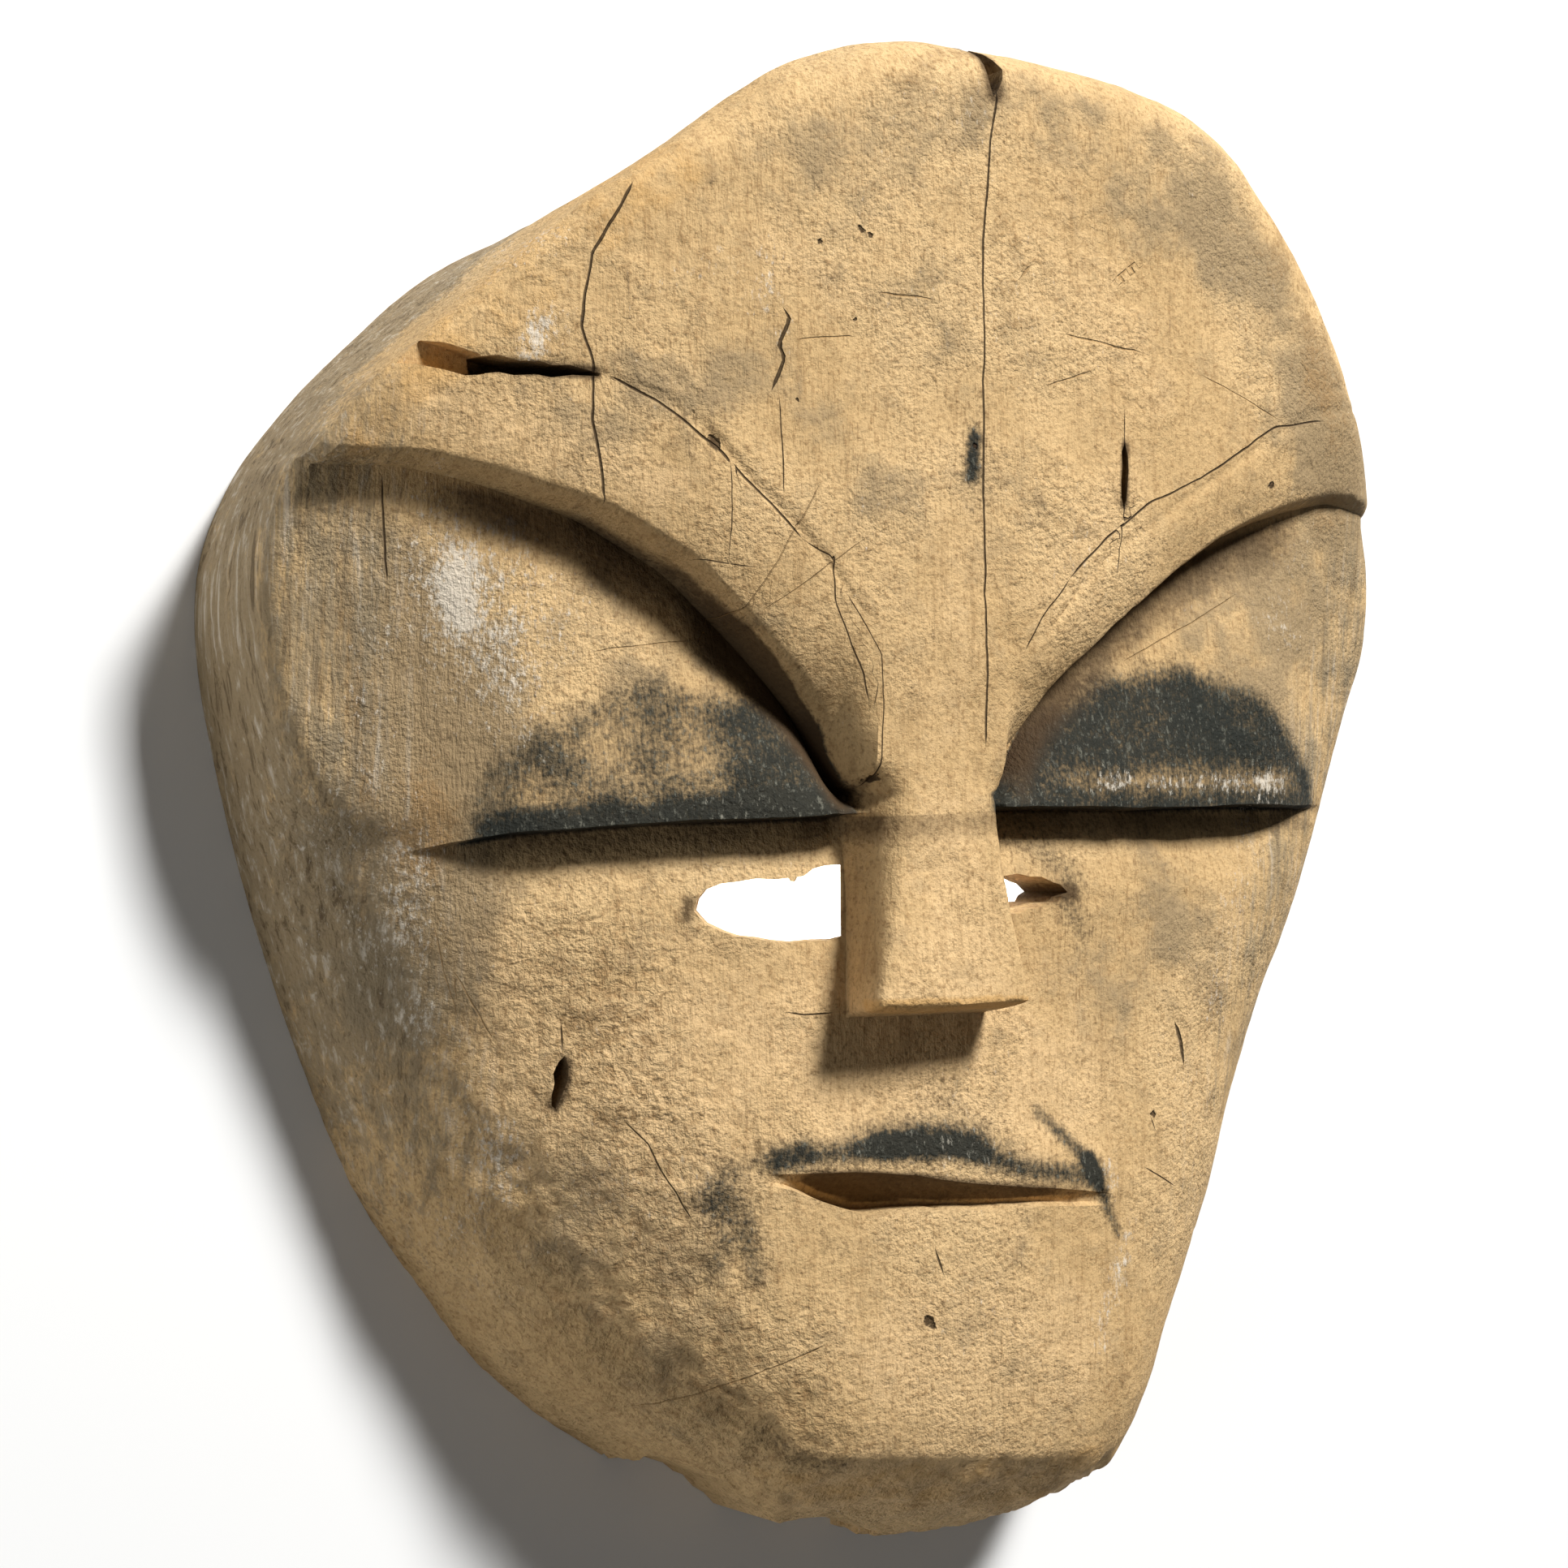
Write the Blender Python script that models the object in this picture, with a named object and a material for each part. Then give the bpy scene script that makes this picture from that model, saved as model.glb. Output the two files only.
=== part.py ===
"""A carved wooden face mask, hollow at the back, lying face up on the flat edge of its back rim.

Frame: metres, +X to the right of the face as it is looked at, +Y to the top of the forehead, +Z out of
the face. The origin is on the rim's plane, under the middle of the mask's width and height.
"""

import math

import bmesh
import bpy
import numpy as np

# Overall sizes, metres.
MASK_WIDTH = 0.259
MASK_HEIGHT = 0.302
WALL = 0.009

# Heights over the rim's plane along the middle of the face.
FOREHEAD_HEIGHT = 0.071
BRIDGE_HEIGHT = 0.068
NOSE_HEIGHT = 0.073
CHEEK_HEIGHT = 0.057
CHIN_HEIGHT = 0.058

# How far the forehead and the cheeks fall back from the middle of the face to its sides, and how much
# higher the right cheek's edge stands than the middle of the two.
FOREHEAD_FALL = 0.020
CHEEK_FALL = 0.021
CHEEK_LEAN = 0.004

# The nose: a straight bar with a flat front and a square end. Its front flares out over its foot.
NOSE_TOP_WIDTH = 0.027
NOSE_FOOT_WIDTH = 0.027
NOSE_FLARE = 0.33
FLANK_SLOPE = 0.0012

# The brows: the step under their lower edge, and the tilt of the band over it, steepest by the nose.
BROW_STEP = 0.0016
BAND_TILT = 0.003
BRIDGE_TILT = 0.014
BRIDGE_TILT_WIDTH = 0.010
BROW_GROOVE = 0.0012
BROW_GROOVE_WIDTH = 0.0022
GROOVE_START = (0.1, 0.2)

# The eye lids: a swelling that ends in a level ledge with a hollow under it.
LEDGE_RISE = 0.0065
LEDGE_STEP = 0.0009
LEDGE_HOLLOW = 0.0035
LEDGE_HOLLOW_HEIGHT = 0.016
SOCKET_DEPTH = 0.003
SOCKET_WIDTH = (0.2, 0.75)

# The mouth: a wedge cut under the upper lip.
MOUTH_DEPTH = 0.010
MOUTH_STEP = 0.0008
LIP_RISE = 0.001
LIP_OVER_MOUTH = 0.004
LIP_WIDTH = 0.006

# The worn lower edge of the chin leans back from its bevel line.
CHIN_BEVEL_FALL = 0.013

# The hollow: the sharpness of its edge, and the deeper part behind the forehead.
HOLLOW_SHARPNESS = 5
FOREHEAD_EXTRA_WALL = 0.003
DEEPER_BETWEEN = (0.42, 0.62)

# The piece lost from the rim beside the chin, and the splits along the grain.
LOST_EDGE_HEIGHT = 0.010
SPLIT_FLOOR = 0.050
SLOT_DEPTH = 0.007
SLOT_WIDTH = 0.0019

# The outline of the rim, clockwise from the top, as shares of half the width and half the height.
OUTLINE = (
    (0.0, 0.98), (0.25, 0.967), (0.42, 0.948), (0.56, 0.91), (0.68, 0.83), (0.79, 0.735),
    (0.89, 0.61), (0.965, 0.477), (1.01, 0.35), (1.03, 0.22), (0.975, 0.053), (0.905, -0.17),
    (0.82, -0.39), (0.725, -0.60), (0.61, -0.78), (0.535, -0.885), (0.455, -0.955), (0.33, -0.99),
    (0.15, -1.0), (-0.02, -0.975), (-0.14, -0.96), (-0.30, -0.88), (-0.488, -0.765), (-0.622, -0.635),
    (-0.732, -0.505), (-0.85, -0.275), (-0.937, -0.043), (-0.99, 0.17), (-1.0, 0.30),
    (-0.965, 0.41), (-0.885, 0.50), (-0.765, 0.59), (-0.55, 0.745), (-0.315, 0.895), (-0.17, 0.957),
)

# Lines of the carving, from left to right, in the same shares.
BROW_UPPER_LINE = (
    (-1.0, 0.529), (-0.82, 0.529), (-0.57, 0.509), (-0.47, 0.485), (-0.395, 0.446), (-0.31, 0.372),
    (-0.22, 0.304), (-0.13, 0.216), (0.0, 0.177), (0.18, 0.196), (0.26, 0.274), (0.34, 0.323),
    (0.48, 0.392), (0.59, 0.441), (0.67, 0.48), (0.78, 0.514), (1.0, 0.529),
)
BROW_LOWER_LINE = (
    (-1.0, 0.406), (-0.81, 0.403), (-0.70, 0.385), (-0.54, 0.345), (-0.405, 0.284), (-0.292, 0.196),
    (-0.227, 0.14), (-0.176, 0.078), (-0.14, 0.02), (-0.118, -0.012), (0.118, -0.012), (0.14, 0.02),
    (0.18, 0.078), (0.24, 0.14), (0.36, 0.225), (0.455, 0.284), (0.56, 0.333), (0.66, 0.365),
    (0.74, 0.387), (0.83, 0.402), (1.0, 0.382),
)
LEDGE_LINE = (
    (-1.0, -0.102), (-0.79, -0.074), (-0.64, -0.048), (-0.41, -0.034), (-0.13, -0.027), (0.13, -0.017),
    (0.50, -0.019), (1.0, -0.017),
)
MOUTH_LINE = (
    (-1.0, -0.479), (-0.24, -0.479), (-0.10, -0.481), (0.02, -0.49), (0.12, -0.503), (0.25, -0.513),
    (0.38, -0.529), (1.0, -0.529),
)
CHIN_LINE = ((-1.0, -0.845), (-0.12, -0.845), (0.02, -0.848), (0.2, -0.863), (0.42, -0.885), (1.0, -0.89))
NOSE_END = -0.277
MOUTH_FROM = -0.262
MOUTH_TO = 0.375
MOUTH_DEEPEST = -0.06
MOUTH_GAP = 0.055
LEDGE_ENDS = (-0.80, 0.88)
LEDGE_FADE = 0.22

# The corners of the front: where its upper and lower edges meet its sides.
UPPER_CORNERS = (-0.50, 0.60)
LOWER_CORNERS = (-0.15, 0.50)

# Sharpness of the edge between front and side, by the angle round the face in degrees.
EDGE_SHARPNESS = (
    (0, 24), (14, 36), (60, 45), (130, 45), (174, 45), (184, 16), (197, 8), (215, 5.5), (236, 6),
    (252, 10), (262, 16), (290, 16), (304, 10), (322, 7), (340, 10), (360, 24),
)

# How far the rim at the back stands in from the front's edge, as a share of the radius, by angle.
RIM_INSET = (
    (0, 0.0), (27, 0.04), (45, 0.03), (55, 0.05), (68, 0.13), (90, 0.19), (110, 0.15), (120, 0.08),
    (130, 0.03), (146, 0.035), (153, 0.05), (160, 0.025), (170, 0.0), (360, 0.0),
)
FRONT_SHARE = 0.975
ROOF_SHARE = 0.92
CENTRE = (0.02, 0.03)

# The eye holes, from the foot of the nose outwards, as shares: outer end, lower edge, upper edge.
LEFT_EYE = (-0.37, -0.188, -0.105)
RIGHT_EYE = (0.285, -0.156, -0.108)

# The split between the forehead and the left brow, the two short slots and the lost piece of the rim.
BROW_SPLIT = (
    (-0.82, 0.528), (-0.69, 0.516), (-0.565, 0.511), (-0.565, 0.502), (-0.69, 0.493), (-0.82, 0.514),
)
SLOTS = ((0.35, 0.37, 0.455), (-0.545, -0.39, -0.325))
LOST_EDGE = ((-0.29, -0.72), (-0.06, -0.72), (-0.06, -1.1), (-0.29, -1.1))

# How finely the form is cut into faces.
COLUMNS = (15, 1, 5, 1, 15)
ROWS = (7, 3, 1, 5, 1, 5, 1, 4, 2, 1, 5, 2)
WALL_RINGS = 6
INNER_RINGS = 4


def spline(points, steps):
    """A closed Catmull-Rom curve through the points: a cubic of four neighbours for each stretch."""
    p = np.array(points, float)
    share = np.linspace(0.0, 1.0, steps, endpoint=False)[:, None]
    stretches = []
    for i in range(len(p)):
        a, b, c, d = p[i - 1], p[i], p[(i + 1) % len(p)], p[(i + 2) % len(p)]
        stretches.append(
            0.5
            * (
                2 * b
                + (c - a) * share
                + (2 * a - 5 * b + 4 * c - d) * share**2
                + (3 * b - a - 3 * c + d) * share**3
            )
        )
    return np.concatenate(stretches)


def soft_line(points, x):
    """The height of a line at x, in shares: straight stretches, rounded by averaging five near places."""
    line = np.array(points)
    spread = 0.02
    return sum(np.interp(x + k * spread, line[:, 0], line[:, 1]) for k in (-1, -0.5, 0, 0.5, 1)) / 5


def ramp(value, low, high):
    """0 below low, 1 above high, and a smooth S between them."""
    share = np.clip((value - low) / (high - low), 0.0, 1.0)
    return share * share * (3 - 2 * share)


HALF = np.array([MASK_WIDTH / 2, MASK_HEIGHT / 2])
MIDDLE = HALF * CENTRE
RIM = spline(OUTLINE, 12) * HALF
RIM_ANGLE = np.arctan2(RIM[:, 1] - MIDDLE[1], RIM[:, 0] - MIDDLE[0])
RIM_ORDER = np.argsort(RIM_ANGLE)
RIM_ANGLE = RIM_ANGLE[RIM_ORDER]
RIM_RADIUS = np.hypot(*(RIM - MIDDLE).T)[RIM_ORDER]


def rim_radius(angle):
    """The distance from the middle to the rim's outline at an angle."""
    return np.interp(angle, RIM_ANGLE, RIM_RADIUS, period=2 * math.pi)


def rim_inset(angle):
    keys = np.array(RIM_INSET)
    return np.interp(np.degrees(angle) % 360, keys[:, 0], keys[:, 1])


def hollow_radius(angle):
    """The distance from the middle to the hollow's edge at the rim."""
    return rim_radius(angle) * (1 - rim_inset(angle)) - WALL


def polar(x, y):
    """The angle about the middle, and the distance from it as a share of the distance to the rim."""
    angle = np.arctan2(y - MIDDLE[1], x - MIDDLE[0])
    return angle, np.hypot(x - MIDDLE[0], y - MIDDLE[1]) / rim_radius(angle)


def edge_sharpness(angle):
    keys = np.array(EDGE_SHARPNESS, float)
    return np.interp(np.degrees(angle) % 360, keys[:, 0], keys[:, 1])


def edge_fall(angle, share):
    """How the front turns down to the rim: the root of 1 - share**n, where n is the edge's sharpness."""
    return np.sqrt(np.clip(1 - share ** edge_sharpness(angle), 0.0, 1.0))


def down_to_tip(y):
    """0 at the bridge of the nose and 1 at its tip, slow at first."""
    return np.clip(y / (HALF[1] * NOSE_END), 0.0, 1.0) ** 2


def nose_sides(y):
    """The left and right edges of the nose at its foot, at a height."""
    half = (NOSE_TOP_WIDTH + (NOSE_FOOT_WIDTH - NOSE_TOP_WIDTH) * down_to_tip(y)) / 2
    return -half, half


def on_nose(x, y):
    """1 on the nose's front and 0 off it, with its steep flanks and end between."""
    left, right = nose_sides(y)
    beside = np.maximum(left - x, x - right)
    across = np.clip(1 - beside / FLANK_SLOPE, 0.0, 1.0)
    return across * np.clip((y - NOSE_END * HALF[1]) / FLANK_SLOPE + 1, 0.0, 1.0)


def mouth_share(sx):
    """How deep the mouth is cut at a place across the face: 0 at its corners, 1 where it is deepest."""
    to_right = np.clip((MOUTH_TO - sx) / (MOUTH_TO - MOUTH_DEEPEST), 0.0, 1.0)
    return ramp(sx, MOUTH_FROM, MOUTH_DEEPEST) * to_right


def mouth_gap(sx):
    """The height of the mouth's opening: it narrows to its corners."""
    return HALF[1] * MOUTH_GAP * (0.25 + 0.75 * mouth_share(sx))


def relief(x, y):
    """The height of the carved face before its edge turns down to the rim.

    A high surface, of forehead, brows and nose, stands over a low one, of lids, cheeks, mouth and chin.
    The line of the brows' lower edge and the sides and end of the nose part the two.
    """
    sx, sy = x / HALF[0], y / HALF[1]
    upper = soft_line(BROW_UPPER_LINE, sx) * HALF[1]
    crest = soft_line(BROW_LOWER_LINE, sx) * HALF[1]
    ledge = soft_line(LEDGE_LINE, sx) * HALF[1]
    mouth = soft_line(MOUTH_LINE, sx) * HALF[1]
    chin = soft_line(CHIN_LINE, sx) * HALF[1]
    left, right = nose_sides(y)
    from_nose = np.maximum(left - x, x - right)

    # The high surface.
    middle = np.interp(
        sy, (NOSE_END, 0.0, 0.25, 1.0), (NOSE_HEIGHT, BRIDGE_HEIGHT, FOREHEAD_HEIGHT, FOREHEAD_HEIGHT)
    )
    high = middle - FOREHEAD_FALL * sx**2
    in_band = np.clip((upper - y) / np.maximum(upper - crest, 1e-6), 0.0, 1.0)
    beside_nose = np.clip(from_nose / (BRIDGE_TILT_WIDTH / 2), 0.0, 1.0)
    tilt = BAND_TILT + BRIDGE_TILT * np.exp(-np.maximum(from_nose, 0.0) / BRIDGE_TILT_WIDTH)
    high -= tilt * in_band**2 * beside_nose
    groove = np.exp(-(((y - upper) / BROW_GROOVE_WIDTH) ** 2)) * ramp(np.abs(sx), *GROOVE_START)
    high -= BROW_GROOVE * groove

    # The low surface.
    low = np.interp(sy, (-0.9, -0.5, -0.1, 1.0), (CHIN_HEIGHT, CHIN_HEIGHT, CHEEK_HEIGHT, CHEEK_HEIGHT))
    low = low - CHEEK_FALL * sx**2 + CHEEK_LEAN * sx
    along_ledge = ramp(sx, LEDGE_ENDS[0], LEDGE_ENDS[0] + LEDGE_FADE) * ramp(
        -sx, -LEDGE_ENDS[1], -LEDGE_ENDS[1] + LEDGE_FADE
    )
    up_lid = np.clip((y - ledge) / np.maximum(crest - BROW_STEP - ledge, 1e-6), 0.0, 1.0)
    on_lid = np.clip((y - ledge + LEDGE_STEP) / LEDGE_STEP, 0.0, 1.0)
    under_ledge = np.clip((ledge - LEDGE_STEP - y) / LEDGE_HOLLOW_HEIGHT, 0.0, 1.0)
    low += LEDGE_RISE * along_ledge * on_lid * (1 - up_lid**1.5)
    low -= SOCKET_DEPTH * (1 - ramp(np.abs(sx), *SOCKET_WIDTH)) * on_lid * up_lid**1.5
    low -= LEDGE_HOLLOW * along_ledge * (1 - under_ledge) ** 1.5 * (1 - on_lid)

    # The mouth's wedge: it slopes in from the upper lip and is deepest just over the lower lip.
    depth = MOUTH_DEPTH * mouth_share(sx)
    gap = mouth_gap(sx)
    under_lip = np.clip((mouth - y) / (gap - MOUTH_STEP), 0.0, 1.0)
    over_chin = np.clip((y - mouth + gap) / MOUTH_STEP, 0.0, 1.0)
    low -= depth * under_lip * over_chin
    low += LIP_RISE * np.exp(-(((y - mouth - LIP_OVER_MOUTH) / LIP_WIDTH) ** 2)) * (depth > 0)
    below_chin = np.clip((chin - y) / (HALF[1] * (1 + CHIN_LINE[1][1])), 0.0, 1.0)
    low -= CHIN_BEVEL_FALL * below_chin

    over_brow = np.clip((y - crest + BROW_STEP) / BROW_STEP, 0.0, 1.0)
    return low + np.maximum(over_brow, on_nose(x, y)) * (high - low)


def front_height(x, y):
    angle, share = polar(x, y)
    return relief(x, y) * edge_fall(angle, share)


def hollow_height(x, y):
    """The roof of the hollow: the plain low surface, less the wall, and deeper behind the forehead."""
    sx, sy = x / HALF[0], y / HALF[1]
    plain = CHEEK_HEIGHT - CHEEK_FALL * sx**2 - WALL
    deeper = (FOREHEAD_HEIGHT - CHEEK_HEIGHT - FOREHEAD_EXTRA_WALL) * ramp(sy, *DEEPER_BETWEEN)
    angle, share = polar(x, y)
    inner_share = share * rim_radius(angle) / hollow_radius(angle)
    return (plain + deeper) * np.sqrt(np.clip(1 - inner_share**HOLLOW_SHARPNESS, 0.0, 1.0))


def edge_line(corners, side):
    """The front's upper (side 1) or lower (side -1) edge as a line in x, level past its two corners."""
    angle = np.linspace(-math.pi, math.pi, 2881)
    radius = rim_radius(angle) * FRONT_SHARE
    x = MIDDLE[0] + radius * np.cos(angle)
    y = MIDDLE[1] + radius * np.sin(angle)
    chosen = (y * side > 0) & (x >= corners[0] * HALF[0]) & (x <= corners[1] * HALF[0])
    order = np.argsort(x[chosen])
    return x[chosen][order], y[chosen][order]


def front_grid():
    """The places of the front's grid in plan.

    Its rows are shared out between the lines of the carving, so each line is a row of edges, and its
    columns between the nose's sides and the outline.
    """
    sample = np.linspace(-1.0, 1.0, 801) * HALF[0]
    share = sample / HALF[0]
    top_x, top_y = edge_line(UPPER_CORNERS, 1)
    low_x, low_y = edge_line(LOWER_CORNERS, -1)
    crest = soft_line(BROW_LOWER_LINE, share) * HALF[1]
    ledge = soft_line(LEDGE_LINE, share) * HALF[1]
    mouth = soft_line(MOUTH_LINE, share) * HALF[1]
    nose_end = np.full_like(sample, NOSE_END * HALF[1])
    lines = (
        np.interp(sample, top_x, top_y),
        soft_line(BROW_UPPER_LINE, share) * HALF[1],
        crest,
        crest - BROW_STEP,
        ledge,
        ledge - LEDGE_STEP,
        nose_end,
        nose_end - FLANK_SLOPE,
        mouth,
        mouth - mouth_gap(share) + MOUTH_STEP,
        mouth - mouth_gap(share),
        soft_line(CHIN_LINE, share) * HALF[1],
        np.interp(sample, low_x, low_y),
    )
    rows = [lines[0]]
    for above, below, count in zip(lines[:-1], lines[1:], ROWS):
        rows += [above + (below - above) * k / count for k in range(1, count + 1)]
    grid = []
    for number, line in enumerate(rows):
        if number == 0:
            ends = np.array(UPPER_CORNERS) * HALF[0]
        elif number == len(rows) - 1:
            ends = np.array(LOWER_CORNERS) * HALF[0]
        else:
            inside = np.flatnonzero(polar(sample, line)[1] < FRONT_SHARE)
            ends = sample[[inside[0], inside[-1]]]
        left, right = nose_sides(np.interp(0.0, sample, line))
        knots = (ends[0], left - FLANK_SLOPE, left, right, right + FLANK_SLOPE, ends[1])
        x = [np.array([knots[0]])]
        for a, b, count in zip(knots[:-1], knots[1:], COLUMNS):
            x.append(a + (b - a) * np.arange(1, count + 1) / count)
        x = np.concatenate(x)
        grid.append(np.stack([x, np.interp(x, sample, line)], axis=1))
    return np.array(grid)


def loop_of(grid):
    """The border of a grid, clockwise from its upper left corner."""
    return np.concatenate([grid[0, :-1], grid[:-1, -1], grid[-1, :0:-1], grid[:0:-1, 0]])


def to_border(grid):
    """The grid with its border moved along the radius onto the front's edge."""
    moved = grid.copy()
    angle, share = polar(grid[..., 0], grid[..., 1])
    fix = FRONT_SHARE / share
    border = np.zeros(share.shape, bool)
    border[[0, -1], :] = True
    border[:, [0, -1]] = True
    scale = np.where(border, fix, 1.0)[..., None]
    return MIDDLE + (moved - MIDDLE) * scale


def mask_vertices_and_faces():
    """The whole skin: front, side wall, rim, inner wall and roof of the hollow, as rings and two grids."""
    plan = to_border(front_grid())
    count_y, count_x = plan.shape[:2]
    front = np.dstack([plan, front_height(plan[..., 0], plan[..., 1])])
    front[..., 0] *= 1 + NOSE_FLARE * down_to_tip(plan[..., 1]) * on_nose(plan[..., 0], plan[..., 1])

    loop = loop_of(plan)
    angle, _ = polar(loop[:, 0], loop[:, 1])
    radius = rim_radius(angle)
    direction = np.stack([np.cos(angle), np.sin(angle)], axis=1)
    level = relief(loop[:, 0], loop[:, 1])
    rings = []
    start = edge_fall(angle, np.full(len(loop), FRONT_SHARE))
    for k in range(1, WALL_RINGS + 1):
        fall = start * (1 - k / WALL_RINGS)
        share = (1 - fall**2) ** (1 / edge_sharpness(angle))
        lean = 1 - rim_inset(angle) * (1 - fall / start)
        place = MIDDLE + direction * (radius * share * lean)[:, None]
        rings.append(np.column_stack([place, level * fall]))

    roof_angle, _ = polar(plan[..., 0], plan[..., 1])
    shrink = ROOF_SHARE * hollow_radius(roof_angle) / rim_radius(roof_angle)
    roof_plan = MIDDLE + (plan - MIDDLE) * shrink[..., None]
    roof = np.dstack([roof_plan, hollow_height(roof_plan[..., 0], roof_plan[..., 1])])
    roof_loop = loop_of(roof)
    roof_radius = np.hypot(*(roof_loop[:, :2] - MIDDLE).T)
    roof_start = np.sqrt(1 - (roof_radius / hollow_radius(angle)) ** HOLLOW_SHARPNESS)
    roof_level = roof_loop[:, 2] / roof_start
    for k in range(INNER_RINGS):
        fall = roof_start * k / INNER_RINGS
        inner = hollow_radius(angle) * (1 - fall**2) ** (1 / HOLLOW_SHARPNESS)
        place = MIDDLE + direction * inner[:, None]
        rings.append(np.column_stack([place, roof_level * fall]))

    vertices = np.concatenate([front.reshape(-1, 3), *rings, roof.reshape(-1, 3)])
    number = np.arange(count_y * count_x).reshape(count_y, count_x)
    loops = [loop_of(number)]
    first = number.size
    for _ in rings:
        loops.append(first + np.arange(len(loop)))
        first += len(loop)
    loops.append(first + loop_of(number))
    faces = grid_faces(number, False) + grid_faces(number + first, True)
    for outer, inner in zip(loops[:-1], loops[1:]):
        faces += np.stack([outer, np.roll(outer, -1), np.roll(inner, -1), inner], axis=1).tolist()
    return vertices, faces


def grid_faces(number, turned):
    quads = np.stack([number[:-1, :-1], number[1:, :-1], number[1:, 1:], number[:-1, 1:]], axis=-1)
    if turned:
        quads = quads[..., ::-1]
    return quads.reshape(-1, 4).tolist()


def new_collection(name):
    collection = bpy.data.collections.new(name)
    bpy.context.scene.collection.children.link(collection)
    return collection


def wood():
    material = bpy.data.materials.new("ochre_wood")
    material.use_nodes = True
    shader = material.node_tree.nodes["Principled BSDF"]
    shader.inputs["Base Color"].default_value = (0.60, 0.40, 0.17, 1.0)
    shader.inputs["Roughness"].default_value = 0.85
    shader.inputs["Metallic"].default_value = 0.0
    return material


def signed_root(value, exponent):
    return np.sign(value) * np.abs(value) ** (2 / exponent)


def cutter(collection, target, name, outline, low, high):
    """A prism on a plan outline that a Boolean takes out of the target."""
    shape = bmesh.new()
    ring = [shape.verts.new((x, y, low)) for x, y in outline]
    base = shape.faces.new(ring)
    top = bmesh.ops.extrude_face_region(shape, geom=[base])
    raised = [item for item in top["geom"] if isinstance(item, bmesh.types.BMVert)]
    bmesh.ops.translate(shape, verts=raised, vec=(0, 0, high - low))
    bmesh.ops.recalc_face_normals(shape, faces=shape.faces)
    mesh = bpy.data.meshes.new(name)
    shape.to_mesh(mesh)
    shape.free()
    prism = bpy.data.objects.new(name, mesh)
    prism.hide_render = True
    prism.display_type = "WIRE"
    collection.objects.link(prism)
    cut = target.modifiers.new(name, "BOOLEAN")
    cut.operation = "DIFFERENCE"
    cut.solver = "EXACT"
    cut.object = prism


def eye_outline(eye, points=20):
    """A long hole with blunt ends beside the nose: a superellipse with exponent 3."""
    outer, low, high = (share * size for share, size in zip(eye, HALF[[0, 1, 1]]))
    foot = math.copysign(NOSE_TOP_WIDTH / 2 + FLANK_SLOPE, outer)
    turn = np.linspace(0, 2 * math.pi, points, endpoint=False)
    x = (outer + foot) / 2 + (outer - foot) / 2 * signed_root(np.cos(turn), 3)
    y = (low + high) / 2 + (high - low) / 2 * signed_root(np.sin(turn), 3)
    return np.stack([x, y], axis=1)


def slot_outline(across, low, high, points=12):
    """A narrow pointed oval."""
    turn = np.linspace(0, 2 * math.pi, points, endpoint=False)
    x = across * HALF[0] + SLOT_WIDTH / 2 * np.cos(turn)
    y = HALF[1] * ((low + high) / 2 + (high - low) / 2 * np.sin(turn))
    return np.stack([x, y], axis=1)


def build():
    for item in list(bpy.data.objects):
        bpy.data.objects.remove(item, do_unlink=True)
    parts = new_collection("tsogho_mask")
    cutters = new_collection("cutters")

    vertices, faces = mask_vertices_and_faces()
    low, high = vertices[:, :2].min(axis=0), vertices[:, :2].max(axis=0)

    def fitted(places):
        """Plan places moved and stretched by the little that makes the skin just fill the mask's sizes."""
        return (places - (low + high) / 2) / (high - low) * 2 * HALF

    vertices[:, :2] = fitted(vertices[:, :2])
    mesh = bpy.data.meshes.new("mask")
    mesh.from_pydata(vertices.tolist(), [], faces)
    mesh.validate()
    mesh.shade_smooth()
    mesh.set_sharp_from_angle(angle=math.radians(35))
    mask = bpy.data.objects.new("mask", mesh)
    mesh.materials.append(wood())
    parts.objects.link(mask)
    sky = NOSE_HEIGHT + WALL
    for name, eye in (("left_eye", LEFT_EYE), ("right_eye", RIGHT_EYE)):
        cutter(cutters, mask, name, fitted(eye_outline(eye)), WALL, sky)
    cutter(cutters, mask, "brow_split", fitted(BROW_SPLIT * HALF), SPLIT_FLOOR, sky)
    for number, (across, bottom, top) in enumerate(SLOTS, start=1):
        middle = np.array([across, (bottom + top) / 2]) * HALF
        floor = front_height(*middle) - SLOT_DEPTH
        cutter(cutters, mask, f"slot_{number}", fitted(slot_outline(across, bottom, top)), floor, sky)
    cutter(cutters, mask, "lost_edge", fitted(LOST_EDGE * HALF), -WALL, LOST_EDGE_HEIGHT)


build()
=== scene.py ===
# A carved face mask that lies on its back rim on a pale floor, looked down on from its left.
import math

import bpy
import numpy as np
from mathutils import Matrix, Vector


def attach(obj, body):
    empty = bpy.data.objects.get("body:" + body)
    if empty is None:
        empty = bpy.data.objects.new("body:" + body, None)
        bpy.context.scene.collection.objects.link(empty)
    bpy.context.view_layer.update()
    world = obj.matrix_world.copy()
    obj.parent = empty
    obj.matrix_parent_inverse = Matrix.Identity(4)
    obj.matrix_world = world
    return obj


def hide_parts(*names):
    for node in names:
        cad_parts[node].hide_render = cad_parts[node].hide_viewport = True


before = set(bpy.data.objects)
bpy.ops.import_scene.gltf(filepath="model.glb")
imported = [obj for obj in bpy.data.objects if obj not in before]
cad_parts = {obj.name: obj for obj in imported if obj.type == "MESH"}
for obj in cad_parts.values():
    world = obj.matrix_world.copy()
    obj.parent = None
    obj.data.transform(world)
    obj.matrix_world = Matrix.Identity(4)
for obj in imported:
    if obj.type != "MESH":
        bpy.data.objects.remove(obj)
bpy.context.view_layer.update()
print("frame loaded:", sorted(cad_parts))

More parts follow.
